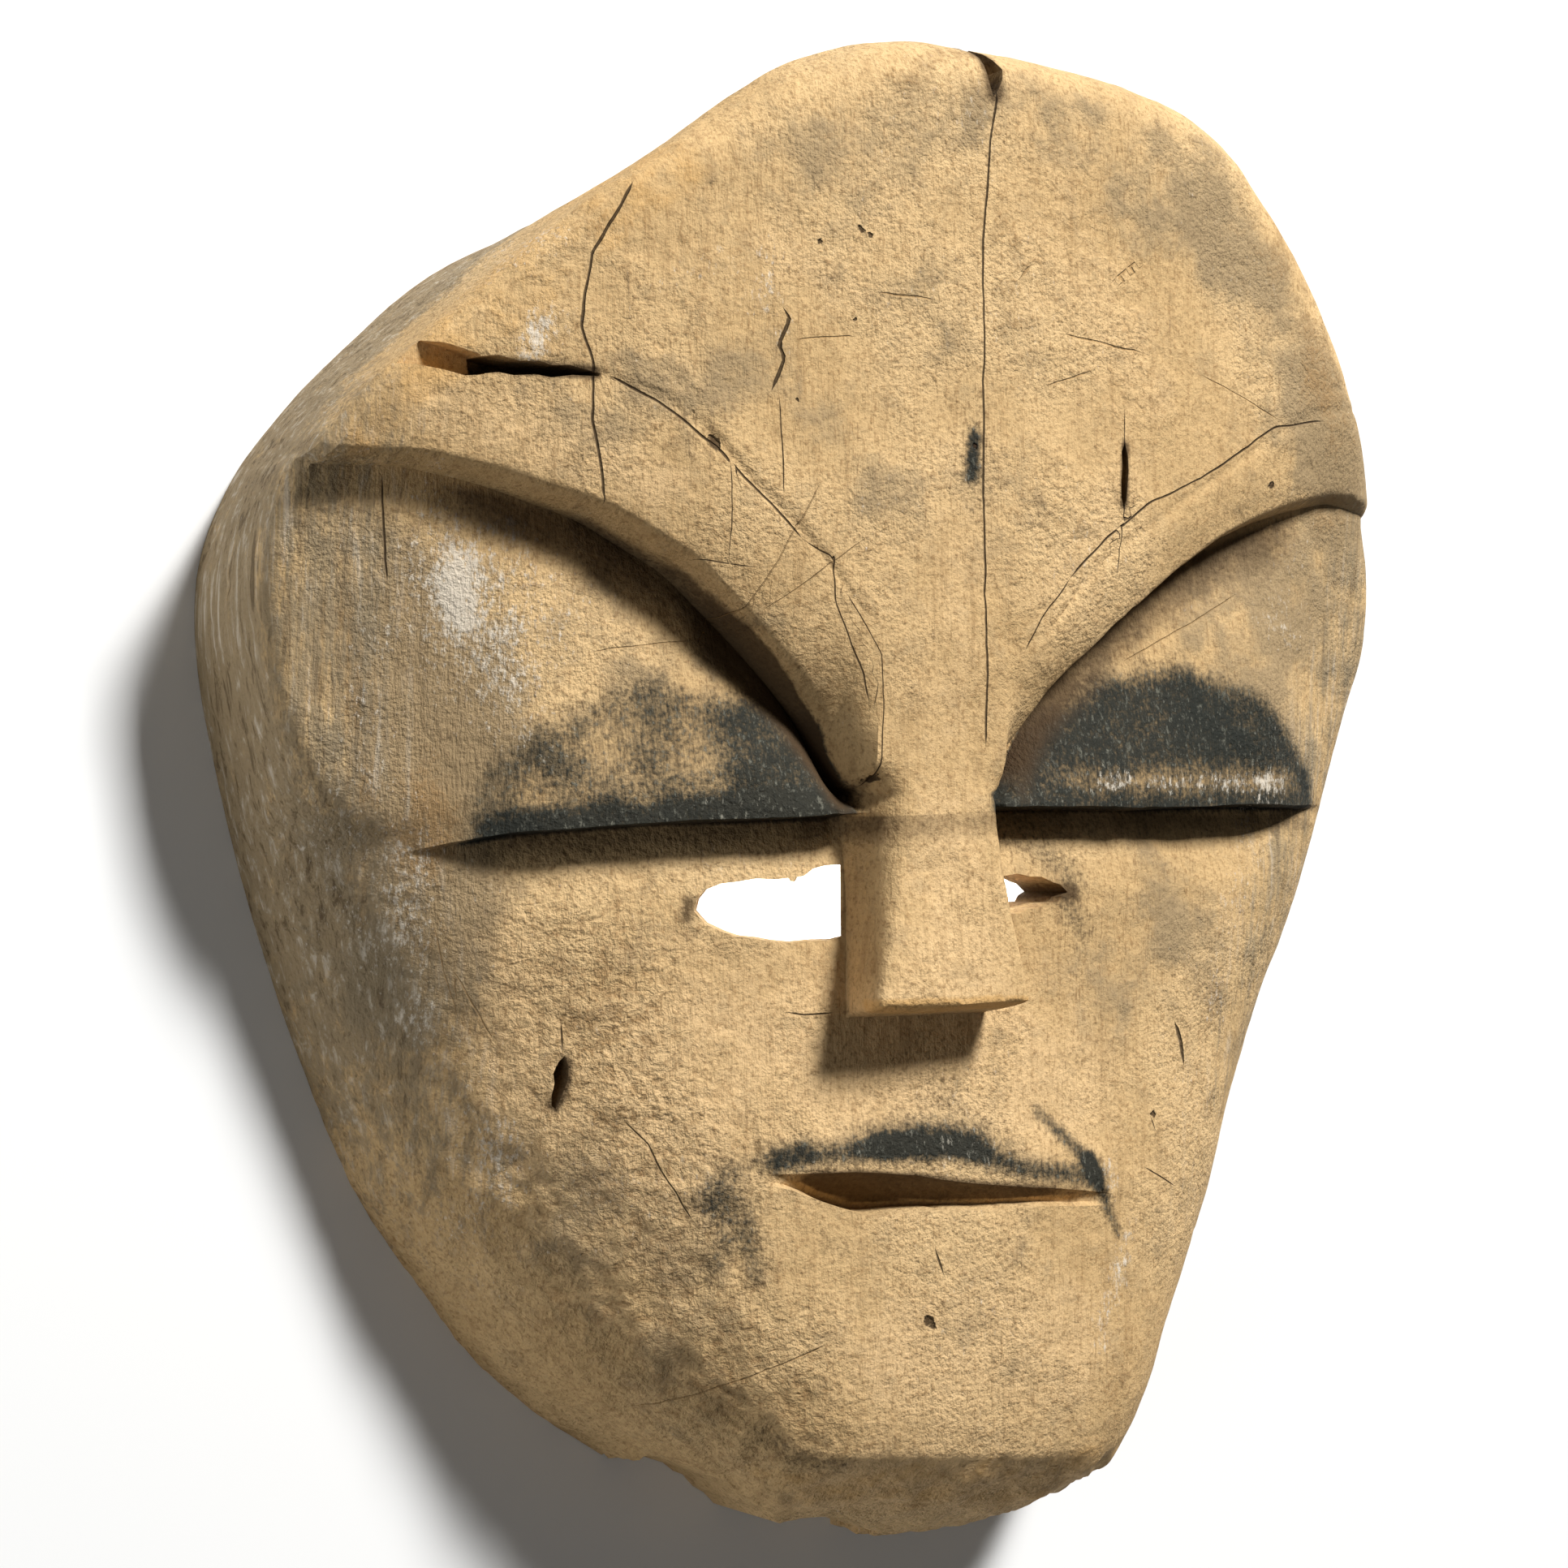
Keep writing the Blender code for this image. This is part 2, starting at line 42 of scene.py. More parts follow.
# ---- the mask's form, in metres; lines are shares of half the width and half the height ----
mask = {
    "width": 0.259, "height": 0.302, "wall": 0.009,
    "foreheadHeight": 0.071, "bridgeHeight": 0.068, "noseHeight": 0.073,
    "cheekHeight": 0.057, "chinHeight": 0.058,
    "foreheadFall": 0.020, "cheekFall": 0.021, "cheekLean": 0.004,
    "noseWidth": 0.0295, "noseShift": 0.0013, "noseFlare": 0.40, "flankSlope": 0.0012, "noseEnd": -0.277,
    "noseRound": (0.0066, 0.0030), "noseEndRound": 0.0024,
    "browStep": 0.0014, "browRound": 0.0019, "bridgeRound": 0.008, "bridgeRoundWidth": 0.022,
    "browEndFill": (0.007, 0.0049), "browEnds": ((0.40, 0.86), (0.52, 0.90)),
    "bandTilt": 0.003, "bridgeTilt": 0.014, "bridgeTiltWidth": 0.010,
    "browGroove": (0.0005, 0.0004), "browGrooveWidth": 0.0009, "grooveStart": (0.1, 0.2),
    "bandDrop": 0.0005, "bandDropEdge": (-0.0004, 0.0009),
    "ledgeRise": 0.0065, "ledgeStep": 0.0009, "ledgeHollow": 0.0035, "ledgeHollowHeight": 0.016,
    "ledgeEnds": (-0.80, 0.88), "ledgeFade": 0.22, "ledgeFromNose": (0.0135, 0.0170),
    "socketDepth": 0.003, "socketWidth": (0.2, 0.75),
    "mouthDepth": 0.010, "mouthStep": 0.0008, "mouthFrom": -0.262, "mouthTo": 0.375,
    "mouthDeepest": -0.06, "mouthGap": 0.055, "mouthRound": 0.5,
    "lipRise": 0.001, "lipOverMouth": 0.004, "lipWidth": 0.006,
    "chinBevelFall": 0.013,
    "hollowSharpness": 5, "foreheadExtraWall": 0.003, "deeperBetween": (0.42, 0.62),
    "centre": (0.02, 0.03), "frontShare": 0.975, "roofShare": 0.92,
    "upperCorners": (-0.50, 0.60), "lowerCorners": (-0.15, 0.50),
    "outline": (
        (0.0, 0.98), (0.25, 0.967), (0.42, 0.948), (0.56, 0.91), (0.68, 0.83), (0.79, 0.735),
        (0.89, 0.61), (0.965, 0.477), (1.01, 0.35), (1.03, 0.22), (0.975, 0.053), (0.905, -0.17),
        (0.82, -0.39), (0.725, -0.60), (0.61, -0.78), (0.535, -0.885), (0.455, -0.955), (0.33, -0.99),
        (0.15, -1.0), (-0.02, -0.975), (-0.14, -0.96), (-0.30, -0.88), (-0.488, -0.765), (-0.622, -0.635),
        (-0.732, -0.505), (-0.85, -0.275), (-0.937, -0.043), (-0.99, 0.17), (-1.0, 0.30),
        (-0.965, 0.41), (-0.885, 0.50), (-0.765, 0.59), (-0.55, 0.745), (-0.315, 0.895), (-0.17, 0.957),
    ),
    "browUpperLine": (
        (-1.0, 0.529), (-0.82, 0.529), (-0.57, 0.509), (-0.47, 0.485), (-0.395, 0.446), (-0.31, 0.372),
        (-0.22, 0.304), (-0.13, 0.216), (0.0, 0.177), (0.18, 0.196), (0.26, 0.274), (0.34, 0.323),
        (0.48, 0.392), (0.59, 0.441), (0.67, 0.48), (0.78, 0.514), (1.0, 0.529),
    ),
    "browLowerLine": (
        (-1.0, 0.406), (-0.81, 0.403), (-0.70, 0.385), (-0.54, 0.345), (-0.405, 0.284), (-0.292, 0.196),
        (-0.227, 0.14), (-0.172, 0.078), (-0.150, 0.03), (-0.136, 0.004), (0.135, 0.004), (0.152, 0.03),
        (0.185, 0.078), (0.24, 0.14), (0.36, 0.225), (0.455, 0.284), (0.56, 0.333), (0.66, 0.365),
        (0.74, 0.387), (0.83, 0.402), (1.0, 0.382),
    ),
    "ledgeLine": (
        (-1.0, -0.102), (-0.79, -0.074), (-0.64, -0.048), (-0.41, -0.034), (-0.13, -0.027), (0.13, -0.017),
        (0.50, -0.019), (1.0, -0.017),
    ),
    "mouthLine": (
        (-1.0, -0.479), (-0.24, -0.479), (-0.10, -0.481), (0.02, -0.49), (0.12, -0.503), (0.25, -0.513),
        (0.38, -0.529), (1.0, -0.529),
    ),
    "chinLine": (
        (-1.0, -0.845), (-0.12, -0.845), (0.02, -0.848), (0.2, -0.863), (0.42, -0.885), (1.0, -0.89),
    ),
    "edgeSharpness": (
        (0, 24), (14, 36), (60, 45), (116, 45), (128, 260), (170, 260), (182, 16), (197, 8), (215, 5.5),
        (236, 6), (252, 10), (262, 16), (290, 16), (304, 10), (322, 7), (340, 10), (360, 24),
    ),
    "rimInset": (
        (0, 0.0), (27, 0.04), (45, 0.03), (55, 0.05), (68, 0.13), (90, 0.19), (110, 0.15), (120, 0.08),
        (130, 0.03), (146, 0.035), (153, 0.05), (160, 0.025), (170, 0.0), (360, 0.0),
    ),
    "columns": (100, 8, 24, 8, 100),
    "rows": (68, 4, 20, 8, 34, 3, 32, 5, 24, 10, 4, 42, 14),
    "wallRings": 16, "innerRings": 4, "innerEvery": 4,
}
half = np.array([mask["width"], mask["height"]]) / 2
middle = half * mask["centre"]


# a closed Catmull-Rom curve: a cubic of four neighbouring points for each stretch
def closedCurve(points, steps):
    b = np.array(points, float)[:, None, :]
    a, c, d = np.roll(b, 1, axis=0), np.roll(b, -1, axis=0), np.roll(b, -2, axis=0)
    t = np.linspace(0, 1, steps, endpoint=False)[None, :, None]
    curve = 2 * b + (c - a) * t + (2 * a - 5 * b + 4 * c - d) * t**2 + (3 * b - a - 3 * c + d) * t**3
    return curve.reshape(-1, 2) / 2


# a line's height at x: straight stretches, averaged over five near places
def softLine(name, x):
    line = np.array(mask[name])
    return sum(np.interp(x + shift, line[:, 0], line[:, 1]) for shift in (-0.02, -0.01, 0, 0.01, 0.02)) / 5


# 0 below low, 1 above high, 3t^2 - 2t^3 between
def ramp(value, low, high):
    t = np.clip((value - low) / (high - low), 0.0, 1.0)
    return t * t * (3 - 2 * t)


rim = closedCurve(mask["outline"], 12) * half - middle
rimOrder = np.argsort(np.arctan2(rim[:, 1], rim[:, 0]))
rimAngles = np.arctan2(rim[:, 1], rim[:, 0])[rimOrder]
rimRadii = np.hypot(rim[:, 0], rim[:, 1])[rimOrder]


def rimRadius(angle):
    return np.interp(angle, rimAngles, rimRadii, period=2 * math.pi)


# a value of the mask by the angle round its middle: straight between its keys in degrees, averaged over
# five near angles
def byAngle(name, angle):
    keys, degrees = np.array(mask[name], float), np.degrees(angle)
    return sum(np.interp((degrees + shift) % 360, *keys.T) for shift in (-5, -2.5, 0, 2.5, 5)) / 5


def hollowRadius(angle):
    return rimRadius(angle) * (1 - byAngle("rimInset", angle)) - mask["wall"]


# the angle about the middle, and the distance as a share of the rim's distance
def polar(x, y):
    angle = np.arctan2(y - middle[1], x - middle[0])
    return angle, np.hypot(x - middle[0], y - middle[1]) / rimRadius(angle)


# how the front turns down to the rim: the root of 1 - share^n, n being the edge's sharpness
def edgeFall(angle, share):
    return np.sqrt(np.clip(1 - share ** byAngle("edgeSharpness", angle), 0.0, 1.0))


def downToTip(y):
    return np.clip(y / (half[1] * mask["noseEnd"]), 0.0, 1.0) ** 2


# from 0 to 1: steep at first, and level at the end, 1 - (1 - t)^2.4
def rounded(t):
    return 1 - (1 - np.clip(t, 0.0, 1.0)) ** 2.4


# how wide the nose's edges are rounded: softer at the bridge than at the tip
def noseRound(y):
    bridge, tip = mask["noseRound"]
    return bridge + (tip - bridge) * ramp(-y / half[1], 0.03, 0.22)


# 1 on the nose's front, 0 off it, with steep flanks and rounded edges
def onNose(x, y):
    inside = mask["noseWidth"] / 2 + mask["flankSlope"] - np.abs(x - mask["noseShift"])
    above = y - mask["noseEnd"] * half[1] + mask["flankSlope"]
    flank = rounded(inside / (noseRound(y) + mask["flankSlope"]))
    return flank * rounded(above / (mask["noseEndRound"] + mask["flankSlope"]))


# the mouth's depth across the face: 0 at its corners, 1 at its deepest
def mouthShare(sx):
    toRight = np.clip((mask["mouthTo"] - sx) / (mask["mouthTo"] - mask["mouthDeepest"]), 0.0, 1.0)
    return ramp(sx, mask["mouthFrom"], mask["mouthDeepest"]) * toRight


def mouthGap(sx):
    return half[1] * mask["mouthGap"] * (0.25 + 0.75 * mouthShare(sx))


# the carved height: a high surface of forehead, brows and nose stands over a low one of lids, cheeks,
# mouth and chin; the blend between them is steep along the brows' lower edge and round the nose, and
# where both reach, the two blends multiply
def carvedHeight(x, y):
    sx, sy = x / half[0], y / half[1]
    upper, crest = softLine("browUpperLine", sx) * half[1], softLine("browLowerLine", sx) * half[1]
    ledge, mouth = softLine("ledgeLine", sx) * half[1], softLine("mouthLine", sx) * half[1]
    chin = softLine("chinLine", sx) * half[1]
    fromNose = np.abs(x) - mask["noseWidth"] / 2

    high = sum(np.interp(
        sy + shift, (mask["noseEnd"], 0.0, 0.25, 1.0),
        (mask["noseHeight"], mask["bridgeHeight"], mask["foreheadHeight"], mask["foreheadHeight"]),
    ) for shift in (-0.10, -0.05, 0.0, 0.05, 0.10)) / 5 - mask["foreheadFall"] * sx**2
    inBand = np.clip((upper - y) / np.maximum(upper - crest, 1e-6), 0.0, 1.0)
    besideNose = np.clip(2 * fromNose / mask["bridgeTiltWidth"], 0.0, 1.0)
    tilt = mask["bandTilt"] + mask["bridgeTilt"] * np.exp(-np.maximum(fromNose, 0) / mask["bridgeTiltWidth"])
    high = high - tilt * inBand**2 * besideNose
    started = ramp(np.abs(sx), *mask["grooveStart"])
    groove = np.exp(-(((y - upper) / mask["browGrooveWidth"]) ** 2)) * started
    high = high - np.where(x < 0, *mask["browGroove"]) * groove
    drop = ramp(upper - y, *mask["bandDropEdge"]) * ramp(-sx, *mask["grooveStart"]) * (1 - inBand)
    high = high - mask["bandDrop"] * drop

    low = np.interp(
        sy, (-0.9, -0.5, -0.1, 1.0),
        (mask["chinHeight"], mask["chinHeight"], mask["cheekHeight"], mask["cheekHeight"]),
    ) - mask["cheekFall"] * sx**2 + mask["cheekLean"] * sx
    first, last = mask["ledgeEnds"]
    alongLedge = ramp(sx, first, first + mask["ledgeFade"]) * ramp(-sx, -last, mask["ledgeFade"] - last)
    alongLedge = alongLedge * ramp(np.abs(x - mask["noseShift"]), *mask["ledgeFromNose"])
    upLid = np.clip((y - ledge) / np.maximum(crest - mask["browStep"] - ledge, 1e-6), 0.0, 1.0)
    onLid = np.clip((y - ledge) / mask["ledgeStep"] + 1, 0.0, 1.0)
    underLedge = np.clip((ledge - mask["ledgeStep"] - y) / mask["ledgeHollowHeight"], 0.0, 1.0)
    low = low + mask["ledgeRise"] * alongLedge * onLid * (1 - upLid**1.5)
    low = low - mask["socketDepth"] * (1 - ramp(np.abs(sx), *mask["socketWidth"])) * onLid * upLid**1.5
    for side, ends, rise in zip((-1, 1), mask["browEnds"], mask["browEndFill"]):
        low = low + rise * ramp(side * sx, *ends) * onLid * upLid**2
    low = low - mask["ledgeHollow"] * alongLedge * (1 - underLedge) ** 1.5 * (1 - onLid)

    depth, gap = mask["mouthDepth"] * mouthShare(sx), mouthGap(sx)
    underLip = np.clip((mouth - y) / (gap - mask["mouthStep"]), 0.0, 1.0)
    overChin = np.clip((y - mouth + gap) / mask["mouthStep"], 0.0, 1.0)
    low = low - depth * underLip ** mask["mouthRound"] * overChin
    lip = np.exp(-(((y - mouth - mask["lipOverMouth"]) / mask["lipWidth"]) ** 2)) * (depth > 0)
    low = low + mask["lipRise"] * lip
    belowChin = np.clip((chin - y) / (half[1] * (1 + mask["chinLine"][1][1])), 0.0, 1.0)
    low = low - mask["chinBevelFall"] * belowChin

    soft = mask["bridgeRound"] * np.exp(-((x / mask["bridgeRoundWidth"]) ** 2))
    overBrow = rounded((y - crest + mask["browStep"]) / (mask["browStep"] + mask["browRound"] + soft))
    return high - (1 - overBrow) * (1 - onNose(x, y)) * (high - low)


# the hollow's roof: the plain cheek less the wall, deeper behind the forehead, rounded to its edge
def hollowHeight(x, y):
    sx, sy = x / half[0], y / half[1]
    plain = mask["cheekHeight"] - mask["cheekFall"] * sx**2 - mask["wall"]
    deeper = (mask["foreheadHeight"] - mask["cheekHeight"] - mask["foreheadExtraWall"]) * ramp(
        sy, *mask["deeperBetween"]
    )
    angle, share = polar(x, y)
    inner = share * rimRadius(angle) / hollowRadius(angle)
    return (plain + deeper) * np.sqrt(np.clip(1 - inner ** mask["hollowSharpness"], 0.0, 1.0))


# the front's upper (1) or lower (-1) edge as y over x, level past its corners
def edgeLine(corners, side, x):
    angle = np.linspace(-math.pi, math.pi, 2881)
    edge = middle[:, None] + rimRadius(angle) * mask["frontShare"] * np.stack([np.cos(angle), np.sin(angle)])
    first, last = np.array(corners) * half[0]
    edge = edge[:, (edge[1] * side > 0) & (edge[0] >= first) & (edge[0] <= last)]
    order = np.argsort(edge[0])
    return np.interp(x, edge[0][order], edge[1][order])


# whole steps between knots: the lower knot's number and the share of the way to the next, for each step
def between(counts):
    place = np.interp(np.arange(sum(counts) + 1), np.cumsum((0, *counts)), np.arange(len(counts) + 1))
    lower = np.minimum(place.astype(int), len(counts) - 1)
    return lower, place - lower


# the front in plan: rows are straight blends of neighbouring carved lines, columns of the nose's sides
# and the outline; border places slide along their radius onto the front's edge
def frontPlan():
    sample = np.linspace(-1.0, 1.0, 2001)
    x = sample * half[0]
    crest, ledge, mouth = (softLine(k, sample) * half[1] for k in ("browLowerLine", "ledgeLine", "mouthLine"))
    noseEnd = np.full_like(x, mask["noseEnd"] * half[1])
    upper, groove = softLine("browUpperLine", sample) * half[1], 2 * mask["browGrooveWidth"]
    mouthEnd = mouth - mouthGap(sample)
    lines = np.array([
        edgeLine(mask["upperCorners"], 1, x), upper + groove, upper - groove,
        np.minimum(crest + mask["browRound"], upper - 2 * groove), crest - mask["browStep"],
        ledge, ledge - mask["ledgeStep"], noseEnd + mask["noseEndRound"], noseEnd - mask["flankSlope"],
        mouth, mouthEnd + mask["mouthStep"], mouthEnd,
        softLine("chinLine", sample) * half[1], edgeLine(mask["lowerCorners"], -1, x),
    ])
    lower, share = between(mask["rows"])
    rows = lines[lower] * (1 - share)[:, None] + lines[lower + 1] * share[:, None]
    inside = polar(x[None, :], rows)[1] < mask["frontShare"]
    left, right = x[inside.argmax(axis=1)], x[len(x) - 1 - inside[:, ::-1].argmax(axis=1)]
    left[0], right[0] = np.array(mask["upperCorners"]) * half[0]
    left[-1], right[-1] = np.array(mask["lowerCorners"]) * half[0]
    foot = np.full_like(left, mask["noseWidth"] / 2 + mask["flankSlope"])
    front = mask["noseWidth"] / 2 - noseRound(rows[:, len(x) // 2])
    shift = mask["noseShift"]
    knots = np.stack([left, shift - foot, shift - front, shift + front, shift + foot, right], axis=1)
    lower, share = between(mask["columns"])
    px = knots[:, lower] * (1 - share) + knots[:, lower + 1] * share
    index = (px / half[0] + 1) / 2 * (len(x) - 1)
    floor = np.clip(index.astype(int), 0, len(x) - 2)
    step = index - floor
    py = np.take_along_axis(rows, floor, 1) * (1 - step) + np.take_along_axis(rows, floor + 1, 1) * step
    plan = np.stack([px, py], axis=-1)
    border = np.zeros(px.shape, bool)
    border[[0, -1], :] = border[:, [0, -1]] = True
    fix = np.where(border, mask["frontShare"] / polar(px, py)[1], 1.0)
    return middle + (plan - middle) * fix[..., None]


# a grid's border, clockwise from its upper left corner
def loopOf(grid):
    return np.concatenate([grid[0, :-1], grid[:-1, -1], grid[-1, :0:-1], grid[:0:-1, 0]])


def gridFaces(number):
    corners = number[:-1, :-1], number[1:, :-1], number[1:, 1:], number[:-1, 1:]
    return np.stack(corners, axis=-1).reshape(-1, 4)


# the skin: front grid, rings down the side wall, the flat rim, rings up the inner wall and the coarser
# roof grid; every innerEvery-th border place of the front has a partner on the inner side
def maskSkin():
    plan = frontPlan()
    x, y = plan[..., 0], plan[..., 1]
    angle, share = polar(x, y)
    front = np.dstack([plan, carvedHeight(x, y) * edgeFall(angle, share)])
    front[..., 0] *= 1 + mask["noseFlare"] * downToTip(y) * onNose(x, y)

    loop = loopOf(plan)
    angle = polar(loop[:, 0], loop[:, 1])[0]
    direction = np.stack([np.cos(angle), np.sin(angle)], axis=1)
    level = carvedHeight(loop[:, 0], loop[:, 1])
    start = edgeFall(angle, np.full(len(loop), mask["frontShare"]))
    fall = start * (1 - np.arange(1, mask["wallRings"] + 1)[:, None] / mask["wallRings"])
    reach = rimRadius(angle) * (1 - fall**2) ** (1 / byAngle("edgeSharpness", angle))
    reach = reach * (1 - byAngle("rimInset", angle) * (1 - fall / start))
    walls = np.dstack([middle + direction * reach[..., None], level * fall])

    every = mask["innerEvery"]
    inner = plan[::every, ::every]
    innerAngle = polar(inner[..., 0], inner[..., 1])[0]
    shrink = mask["roofShare"] * hollowRadius(innerAngle) / rimRadius(innerAngle)
    roofPlan = middle + (inner - middle) * shrink[..., None]
    roof = np.dstack([roofPlan, hollowHeight(roofPlan[..., 0], roofPlan[..., 1])])
    roofLoop = loopOf(roof)
    hollow = hollowRadius(angle[::every])
    n = mask["hollowSharpness"]
    roofStart = np.sqrt(1 - (np.hypot(*(roofLoop[:, :2] - middle).T) / hollow) ** n)
    fall = roofStart * np.arange(mask["innerRings"])[:, None] / mask["innerRings"]
    reach = hollow * (1 - fall**2) ** (1 / n)
    inside = np.dstack([middle + direction[::every] * reach[..., None], roofLoop[:, 2] / roofStart * fall])

    vertices = np.concatenate([a.reshape(-1, 3) for a in (front, walls, inside, roof)])
    number = np.arange(front.shape[0] * front.shape[1]).reshape(front.shape[:2])
    count = len(loop)
    outer = np.vstack([loopOf(number), number.size + np.arange(count * len(walls)).reshape(-1, count)])
    first = number.size + count * len(walls)
    small = count // every
    rings = first + np.arange(small * len(inside)).reshape(-1, small)
    roofNumber = first + small * len(inside) + np.arange(inner.shape[0] * inner.shape[1])
    roofNumber = roofNumber.reshape(inner.shape[:2])
    rings = np.vstack([rings, loopOf(roofNumber)])

    faces = gridFaces(number).tolist() + gridFaces(roofNumber)[:, ::-1].tolist()
    for ring in (outer, rings):
        sides = np.stack([ring[:-1], np.roll(ring[:-1], -1, 1), np.roll(ring[1:], -1, 1), ring[1:]], axis=-1)
        faces += sides.reshape(-1, 4).tolist()
    steps = np.arange(small)[:, None] * every + np.arange(every + 1)[None, :]
    rimFaces = np.hstack([outer[-1][steps % count], np.roll(rings[0], -1)[:, None], rings[0][:, None]])
    faces += rimFaces.tolist()
    return vertices, faces


vertices, faces = maskSkin()
skinLow, skinHigh = vertices[:, :2].min(axis=0), vertices[:, :2].max(axis=0)


# plan places moved and stretched by the little that makes the skin just fill the mask's sizes
def fitted(places):
    return (np.asarray(places) - (skinLow + skinHigh) / 2) / (skinHigh - skinLow) * 2 * half


vertices[:, :2] = fitted(vertices[:, :2])
print("skin:", len(vertices), "places,", len(faces), "faces")

# ---- hand carving, wear and damage, in metres; places are in plan, in millimetres from the middle ----
wear = {
    "seed": 7,
    "broad": (0.030, 0.0008), "dimples": (0.009, 0.00035), "pits": (0.0034, 0.00030),
    "jaw": (0.0055, 0.0011), "jawAcross": (0.045, 0.080), "jawDown": (0.025, 0.075),
    "chin": (0.006, 0.0018), "chinDown": (0.126, 0.136),
}


# value noise from -1 to 1: random numbers on a cubic lattice, blended by 3t^2 - 2t^3 along each axis,
# summed over octaves of half the size and half the strength
def noise(points, size, seed, octaves=3):
    table = np.random.default_rng(seed).uniform(-1, 1, 65536)
    total, weight = np.zeros(len(points)), 0.0
    for octave in range(octaves):
        place = points / (size / 2**octave) + 17.3 * (octave + 1)
        cell = np.floor(place).astype(np.int64)
        t = place - cell
        t = t * t * (3 - 2 * t)
        value = np.zeros(len(points))
        for corner in range(8):
            bit = np.array([corner & 1, corner >> 1 & 1, corner >> 2 & 1])
            key = (cell + bit) @ np.array([73856093, 19349663, 83492791])
            value += table[(key ^ key >> 13) & 65535] * np.prod(np.where(bit, t, 1 - t), axis=1)
        total += value * 0.5**octave
        weight += 0.5**octave
    return total / weight


# the distance in plan from a broken line: the least over its stretches
def lineDistance(points, line):
    line = np.array(line, float) / 1000
    a, along = line[:-1], np.diff(line, axis=0)
    rel = points[:, None, :2] - a
    t = np.clip((rel * along).sum(-1) / (along**2).sum(-1), 0.0, 1.0)
    return np.linalg.norm(rel - t[..., None] * along, axis=-1).min(axis=1)


# 1 on a broken line, falling off as a bell of the given half width in millimetres
def near(points, line, width):
    return np.exp(-((lineDistance(points, line) / (width / 1000)) ** 2))


# each place's normal: the mean of its faces' normals, weighted by area
def normalsOf(vertices, faces):
    mesh = bpy.data.meshes.new("measure")
    mesh.from_pydata(vertices.tolist(), [], faces)
    found = np.empty(len(vertices) * 3, np.float32)
    mesh.vertices.foreach_get("normal", found)
    bpy.data.meshes.remove(mesh)
    return found.reshape(-1, 3)


# how far each place moves along its normal: noises of several sizes and the worn, bumpy places
def wearDepth(p):
    seed = wear["seed"]
    outside = ramp(p[:, 2], -0.001, 0.001)
    size, depth = wear["broad"]
    move = depth * noise(p, size, seed, 2)
    size, depth = wear["dimples"]
    move += depth * noise(p, size, seed + 1)
    size, depth = wear["pits"]
    move -= depth * ramp(noise(p, size, seed + 2, 2), 0.25, 0.7)
    size, depth = wear["jaw"]
    onJaw = ramp(-p[:, 0] - 0.35 * p[:, 1], *wear["jawAcross"]) * ramp(-p[:, 1], *wear["jawDown"])
    move += depth * noise(p, size, seed + 3) * onJaw
    size, depth = wear["chin"]
    move += depth * noise(p, size, seed + 4) * ramp(-p[:, 1], *wear["chinDown"])
    return move * outside


vertices += normalsOf(vertices, faces) * wearDepth(vertices)[:, None]
vertices[:, 2] = np.maximum(vertices[:, 2], 0.0)
print("carving and wear done")


def newMesh(name, vertices, faces):
    mesh = bpy.data.meshes.new(name)
    mesh.from_pydata(vertices.tolist(), [], faces)
    mesh.validate()
    mesh.update()
    item = bpy.data.objects.new(name, mesh)
    bpy.context.scene.collection.objects.link(item)
    return item


maskPiece = newMesh("maskBody", vertices, faces)

